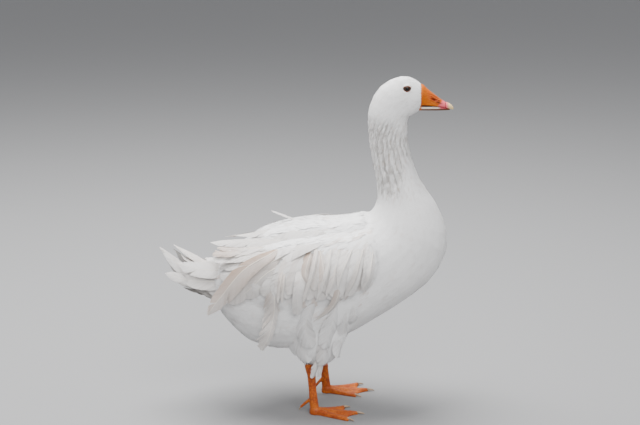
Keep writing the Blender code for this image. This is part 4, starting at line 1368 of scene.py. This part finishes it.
def rootDeeper(points, depth):
    # the bill's root goes further into the head
    line = bill["rootX"] + bill["rootLean"] * (points[:, 2] - bill["rootZ"])
    points[:, 0] -= depth * (1 - smoothStep(points[:, 0] - line, 0, bill["rootSoft"]))


def coverRoot(points):
    # the root of the bill widens until it meets the edge of the feathers
    start = np.array([billRoot, 0, skinSizes["billAxis"]])
    end, (lowest, full), far = billRoot + bill["widens"], bill["widensAbove"], 60
    for i in np.nonzero((points[:, 0] < end) & (points[:, 2] > lowest))[0]:
        out = (points[i] - start) * (0, 1, 1)
        size = np.linalg.norm(out)
        out /= size
        hit = skinTree.ray_cast(Vector(start + far * out), Vector(-out), far)[3]
        wanted = far - hit + bill["cover"] if hit is not None else 0
        share = (1 - smoothStep(points[i, 0], billRoot, end)) * smoothStep(points[i, 2], lowest, full)
        if size > 0.6 * wanted:
            points[i] += out * (wanted - size) * share


def settleUpper(points):
    rootDeeper(points, bill["upperIn"])
    coverRoot(points)


def settleLower(points):
    rootDeeper(points, bill["lowerIn"])


def sculpted(name, nodes, shape, material, voxel, passes, settle=None, change=None):
    # a smooth, fine copy of CAD nodes with its shape worked on it, and masks kept for the material; settle
    # moves the smoothed points first, and change the nodes' own points before they are joined
    mesh = remeshed(meshOf(nodes, change), voxel)
    smoothed(mesh, passes)
    points, normals = readPoints(mesh), readNormals(mesh)
    height, masks = shape(points, normals)
    if settle:
        settle(points)
    writePoints(mesh, points + normals * height[:, None])
    smoothed(mesh, 1, 0.2)
    tone = np.zeros((len(points), 3))
    for k, values in enumerate(masks.values()):
        tone[:, k] = values
    setTone(mesh, tone)
    finishPiece(name, mesh, material, nodes)
    print(name, len(mesh.polygons), "faces")


def billMaterial():
    made, tree, shader = newMaterial("orange bill", 0.5, 0.15)
    x, _, z = useGroup(tree, "place")
    red, dark, brown = toneOf(tree)
    patches = useGroup(tree, "mottle", Scale=140, Low=0.42, High=0.62)["Mask"]
    specks = useGroup(tree, "mottle", Scale=420, Low=0.64, High=0.70)["Mask"]
    base = mixColour(tree, patches, billLook["orange"], billLook["deep"])
    lower = spanned(tree, z, *billSpans["pinkLeans"], 0, 9)
    reach = addNode(tree, "ShaderNodeMath", {0: x, 1: lower}, operation="ADD").outputs[0]
    towards = mixColour(tree, spanned(tree, reach, *billSpans["upperPink"]), base, billLook["pink"])
    creased = mixColour(tree, red, towards, billLook["red"])
    flecked = mixColour(tree, spanned(tree, specks, 0, 1, 0, 0.5), creased, billLook["red"])
    # painted shade in the nostril's slot and in the creases
    slotShaded = mixColour(tree, dark, flecked, billLook["dark"])
    tree.links.new(mixColour(tree, brown, slotShaded, billLook["brown"]), shader.inputs["Base Color"])
    grain = useGroup(tree, "grain", Scale=900, Strength=0.25, Depth=0.0002)
    tree.links.new(grain["Normal"], shader.inputs["Normal"])
    tree.links.new(spanned(tree, patches, 0, 1, 0.45, 0.6), shader.inputs["Roughness"])
    return made


def nailMaterial():
    made, tree, shader = newMaterial("bill nail", 0.4, 0.3)
    x = useGroup(tree, "place")["X"]
    patches = useGroup(tree, "mottle", Scale=300, Low=0.4, High=0.7)["Mask"]
    worn = mixColour(tree, patches, billLook["cream"], (0.52, 0.36, 0.18, 1))
    faded = mixColour(tree, spanned(tree, x, *billSpans["nailWorn"]), billLook["pink"], worn)
    tree.links.new(faded, shader.inputs["Base Color"])
    return made


def lowerBillMaterial():
    made, tree, shader = newMaterial("lower bill", 0.5, 0.3)
    x, _, z = useGroup(tree, "place")
    patches = useGroup(tree, "mottle", Scale=200, Low=0.4, High=0.7)["Mask"]
    base = mixColour(tree, patches, billLook["orange"], billLook["deep"])
    pale = mixColour(tree, spanned(tree, x, *billSpans["lowerPink"]), billLook["gum"], billLook["pink"])
    # painted shadow: below its pale strip the lower half turns dark, where the upper half shades it
    strip = mixColour(tree, spanned(tree, z, *billSpans["lowerShade"]), billLook["shade"], pale)
    # painted shadow: a dark line along the top edge, in the gap under the upper half
    gapShadowed = mixColour(tree, spanned(tree, z, *billSpans["lowerGapShadow"]), strip, billLook["brown"])
    whole = mixColour(tree, spanned(tree, x, *billSpans["lowerRoot"]), base, gapShadowed)
    tree.links.new(whole, shader.inputs["Base Color"])
    return made


def plainMaterial(name, colour, other, scale, roughness):
    made, tree, shader = newMaterial(name, roughness)
    patches = useGroup(tree, "mottle", Scale=scale, Low=0.4, High=0.7)["Mask"]
    tree.links.new(mixColour(tree, patches, colour, other), shader.inputs["Base Color"])
    return made


fineness = bill["voxel"]
sculpted("bill_top", ["bill_upper"], upperBillShape, billMaterial(), fineness, 5, settleUpper)
sculpted("bill_tip", ["bill_nail"], nailShape, nailMaterial(), fineness, 4)
sculpted("bill_under", ["bill_lower"], lowerBillShape, lowerBillMaterial(), fineness, 4, settleLower)


def buildPlates(name, material):
    # a row of thin upright plates inside each edge of the bill
    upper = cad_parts["bill_upper"].data
    billTree = treeOf(readPoints(upper), upper)
    thick, wide, high = plate["size"]
    far = 60
    bm = bmesh.new()
    for side in sides.values():
        for x in np.linspace(plate["first"], plate["last"], plate["count"]):
            hit = billTree.ray_cast(Vector((x, side * far, plate["edge"])), Vector((0, -side, 0)))[0]
            if hit is None:
                continue
            cube = bmesh.ops.create_cube(bm, size=1)["verts"]
            for v in cube:
                taper = plate["taper"] if v.co.z < 0 else 1.0
                v.co *= Vector((thick * taper, wide * taper, high))
            bmesh.ops.translate(bm, verts=cube, vec=(x, hit.y - side * plate["inside"], plate["middle"]))
    bmesh.ops.bevel(
        bm, geom=bm.edges, offset=plate["round"], segments=1, affect="EDGES", profile=0.5, material=-1)
    finishPiece(name, placedMesh(bm, name), material)


plateHorn = plainMaterial("bill plates", (0.30, 0.17, 0.10, 1), (0.20, 0.10, 0.05, 1), 600, 0.5)
buildPlates("bill_plates", plateHorn)


# The eyes and their lids

def eyeMaterial():
    made, tree, shader = newMaterial("dark brown eye", 0.08, 0.22)
    x, _, z = useGroup(tree, "place")
    flat = addNode(tree, "ShaderNodeCombineXYZ", {0: x, 1: 0.0, 2: z})
    middle = addNode(tree, "ShaderNodeCombineXYZ", {0: float(eye["x"]), 1: 0.0, 2: float(eye["z"])})
    gap = addNode(tree, "ShaderNodeVectorMath", {
        0: flat.outputs[0], 1: middle.outputs[0]}, operation="DISTANCE")
    streaks = useGroup(tree, "mottle", Scale=700, Low=0.3, High=0.7)["Mask"]
    iris = mixColour(tree, streaks, (0.050, 0.020, 0.010, 1), (0.022, 0.010, 0.006, 1))
    far = gap.outputs["Value"]
    pupil = mixColour(tree, spanned(tree, far, *eye["pupil"]), (0.002, 0.002, 0.002, 1), iris)
    edge = mixColour(tree, spanned(tree, far, *eye["iris"]), pupil, (0.006, 0.004, 0.004, 1))
    tree.links.new(edge, shader.inputs["Base Color"])
    shader.inputs["Coat Weight"].default_value = 0.15
    shader.inputs["Coat Roughness"].default_value = 0.03
    return made


def lidMaterial():
    made, tree, shader = newMaterial("eyelid skin", 0.5, 0.4)
    rim, _, _ = toneOf(tree)
    patches = useGroup(tree, "mottle", Scale=800, Low=0.4, High=0.7)["Mask"]
    flesh = mixColour(tree, patches, (0.30, 0.075, 0.025, 1), (0.20, 0.045, 0.02, 1))
    tree.links.new(mixColour(tree, rim, (0.58, 0.54, 0.50, 1), flesh), shader.inputs["Base Color"])
    return made


def buildEye(name, side, material):
    # a ball whose cornea stands out a little
    bm = bmesh.new()
    bmesh.ops.create_uvsphere(bm, u_segments=48, v_segments=32, radius=eye["radius"])
    for v in bm.verts:
        out = max(0.0, v.co.z / eye["radius"])
        v.co.z += eye["cornea"] * smoothStep(out, 0.72, 0.95)
    bmesh.ops.rotate(bm, verts=bm.verts, cent=(0, 0, 0), matrix=Matrix.Rotation(-side * math.pi / 2, 3, "X"))
    bmesh.ops.translate(bm, verts=bm.verts, vec=(eye["x"], side * eye["out"], eye["z"]))
    finishPiece(name, placedMesh(bm, name), material, [name.replace("eyeball", "eye")])


lidRings = {
    # from inside the opening outwards: how far from its edge, height over the eyeball, fleshiness
    "steps": [
        (-0.5, 0.05, 1.0), (-0.2, 0.30, 1.0), (0.1, 0.60, 1.0), (0.4, 0.75, 0.7), (0.8, 0.60, 0.2),
        (1.2, 0.20, 0.0), (1.8, -0.5, 0.0), (2.8, -1.4, 0.0),
    ],
    "around": 64, "corner": 0.16,
}


def buildLids(name, side, material):
    # rings of skin round the opening, with a corner at each end
    bm = bmesh.new()
    around = lidRings["around"]
    rings, fleshy = [], []
    for step, lift, flesh in lidRings["steps"]:
        ring = bmesh.ops.create_circle(bm, segments=around, radius=1)["verts"]
        rings.append(ring)
        for v in ring:
            turn = math.atan2(v.co.y, v.co.x)
            corner = 1 + lidRings["corner"] * abs(math.cos(turn)) ** 12
            x = eye["halfLength"] * math.cos(turn) * corner
            z = eye["halfHeight"] * math.sin(turn)
            size = math.hypot(x, z)
            x, z = x * (1 + step / size), z * (1 + step / size)
            crease = 0.12 * math.sin(turn * 26) * smoothStep(step, 0.6, 1.6) * (step < 3)
            far = math.hypot(x, z)
            ball = math.sqrt(max((eye["radius"] + lift + crease) ** 2 - far ** 2, 4.0))
            v.co = (eye["x"] + x, side * (eye["out"] + ball), eye["z"] + z)
            fleshy.append(flesh)
    for inner, outer in zip(rings, rings[1:]):
        for k in range(around):
            j = (k + 1) % around
            bm.faces.new((inner[k], inner[j], outer[j], outer[k]))
    bmesh.ops.recalc_face_normals(bm, faces=bm.faces)
    if sum(f.normal.y * side for f in bm.faces) < 0:
        bmesh.ops.reverse_faces(bm, faces=bm.faces)
    mesh = placedMesh(bm, name)
    tone = np.zeros((len(fleshy), 3))
    tone[:, 0] = fleshy
    setTone(mesh, tone)
    finishPiece(name, mesh, material)


eyeLook, lidLook = eyeMaterial(), lidMaterial()
for key, side in sides.items():
    buildEye("eyeball_" + key, side, eyeLook)
    buildLids("eyelids_" + key, side, lidLook)


# The legs: bare scaly skin on the shanks and webbed feet, with their claws

leg = {
    "voxel": 1.15, "clawVoxel": 0.6, "scale": 0.24, "fineScale": 0.42, "groove": 0.42,
    "reach": {
        "shank": 6.0, "hind_toe": 9.0,
        "claw_outer": 4.5, "claw_middle": 4.5, "claw_inner": 4.5, "claw_hind": 4.5,
    },
    "ankleAhead": 10.0, "ankleHeight": 20.0, "shankEnd": (15.0, 35.0), "footToShank": (12, 26),
}
legLook = {"orange": (0.58, 0.14, 0.010, 1), "deep": (0.42, 0.075, 0.010, 1), "line": (0.20, 0.03, 0.012, 1)}


def reachIn(node, verts):
    # toes and claws grow out of what they are set on, and the shank out of the foot, so each root goes
    # further in
    reach = leg["reach"].get(node[:-2], 0) * mm
    if not reach:
        return
    if node.startswith("shank"):
        for v in verts:
            v.co.z -= reach * (1 - smoothStep(v.co.z / mm, *leg["shankEnd"]))
        return
    foot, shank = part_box("foot" + node[-2:]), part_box("shank" + node[-2:])
    heel, middle = foot[0].x + leg["ankleAhead"] * mm, (shank[0].y + shank[1].y) / 2
    ankle = Vector((heel, middle, leg["ankleHeight"] * mm))
    gaps = [(v.co - ankle).length for v in verts]
    tip = verts[gaps.index(max(gaps))].co.copy()
    root = verts[gaps.index(min(gaps))].co.copy()
    along = root - tip
    for v in verts:
        share = min(1, max(0, (v.co - tip).dot(along) / along.length_squared))
        v.co += along.normalized() * reach * share ** 2


def scaleEdges(points, scale):
    # 1 along the borders of the scales and 0 inside them
    edges = np.empty(len(points))
    for i, p in enumerate(points):
        gaps = noise.voronoi(Vector(p) * scale)[0]
        edges[i] = gaps[1] - gaps[0]
    return 1 - smoothStep(edges, 0.02, 0.30)


def legShape(points, normals):
    z = points[:, 2]
    high = smoothStep(z, *leg["footToShank"])
    coarse = scaleEdges(points * (1, 1, 0.8), leg["scale"])
    fine = scaleEdges(points, leg["fineScale"])
    lines = coarse * high + fine * (1 - high)
    top = smoothStep(normals[:, 2], 0.2, 0.7) * (1 - high)
    pleats = 0.35 * np.sin(points[:, 0] * 0.9 + np.abs(points[:, 1]) * 0.5) * top * bump(z, 5, 4)
    height = leg["groove"] * (0.3 - lines) * np.where(z < 2.5, 0.0, 1.0) + pleats * 0.6
    return height * smoothStep(z, 0.8, 3), {"lines": lines}


def legMaterial():
    made, tree, shader = newMaterial("scaly orange leg", 0.48, 0.25)
    lines, _, _ = toneOf(tree)
    patches = useGroup(tree, "mottle", Scale=70, Low=0.4, High=0.65)["Mask"]
    base = mixColour(tree, patches, legLook["orange"], legLook["deep"])
    part = spanned(tree, lines, 0, 1, 0, 0.75)
    tree.links.new(mixColour(tree, part, base, legLook["line"]), shader.inputs["Base Color"])
    grain = useGroup(tree, "grain", Scale=700, Strength=0.3, Depth=0.0003)
    tree.links.new(grain["Normal"], shader.inputs["Normal"])
    return made


def clawShape(points, normals):
    return 0.05 * grainAt(points, 1.2), {}


legSkin = legMaterial()
clawHorn = plainMaterial("horn claws", (0.42, 0.30, 0.20, 1), (0.24, 0.15, 0.10, 1), 260, 0.35)
for key in sides:
    limbs = [f"{part}_{key}" for part in ("shank", "foot", "hind_toe")]
    claws = [f"claw_{toe}_{key}" for toe in ("outer", "middle", "inner", "hind")]
    sculpted("leg_" + key, limbs, legShape, legSkin, leg["voxel"], 3, change=reachIn)
    sculpted("claws_" + key, claws, clawShape, clawHorn, leg["clawVoxel"], 2, change=reachIn)


# The studio

studio = {
    "focal": 90.6, "distance": 2900, "lift": 13.0, "aim": (5.4, 0, 361),
    "floor": (0.25, 0.25, 0.252, 1), "floorRadius": 14, "sky": (0.92, 0.93, 0.96, 1), "skyStrength": 0.75,
    "litSpot": (0, 0, 0.3),
    "lights": {
        "key": {"spot": (0.5, -2.1, 2.0), "size": 1.8, "power": 64},
        "top": {"spot": (-0.4, 0.5, 2.8), "size": 2.0, "power": 250},
    },
}


def buildStudio():
    bpy.ops.mesh.primitive_circle_add(vertices=96, radius=studio["floorRadius"], fill_type="NGON")
    floor = bpy.context.object
    floor.name = "floor"
    made, _, shader = newMaterial("pale floor", 0.9, 0.2)
    shader.inputs["Base Color"].default_value = studio["floor"]
    floor.data.materials.append(made)
    world = bpy.data.worlds.new("studio")
    bpy.context.scene.world = world
    world.use_nodes = True
    sky = world.node_tree.nodes["Background"].inputs
    sky["Color"].default_value = studio["sky"]
    sky["Strength"].default_value = studio["skyStrength"]
    for name, given in studio["lights"].items():
        light = bpy.data.lights.new(name, "AREA")
        light.size = given["size"]
        light.energy = given["power"]
        holder = bpy.data.objects.new(name, light)
        holder.location = given["spot"]
        shines = Vector(studio["litSpot"]) - Vector(given["spot"])
        holder.rotation_euler = shines.to_track_quat("-Z", "Y").to_euler()
        bpy.context.scene.collection.objects.link(holder)


def buildCamera():
    lens = bpy.data.cameras.new("camera")
    lens.lens = studio["focal"]
    lens.sensor_width = 36
    camera = bpy.data.objects.new("camera", lens)
    lift = math.radians(studio["lift"])
    back = np.array([0, -math.cos(lift), math.sin(lift)]) * studio["distance"]
    camera.location = (np.array(studio["aim"]) + back) * mm + hip
    camera.rotation_euler = (math.pi / 2 - lift, 0, 0)
    bpy.context.scene.collection.objects.link(camera)
    bpy.context.scene.camera = camera


buildStudio()
buildCamera()
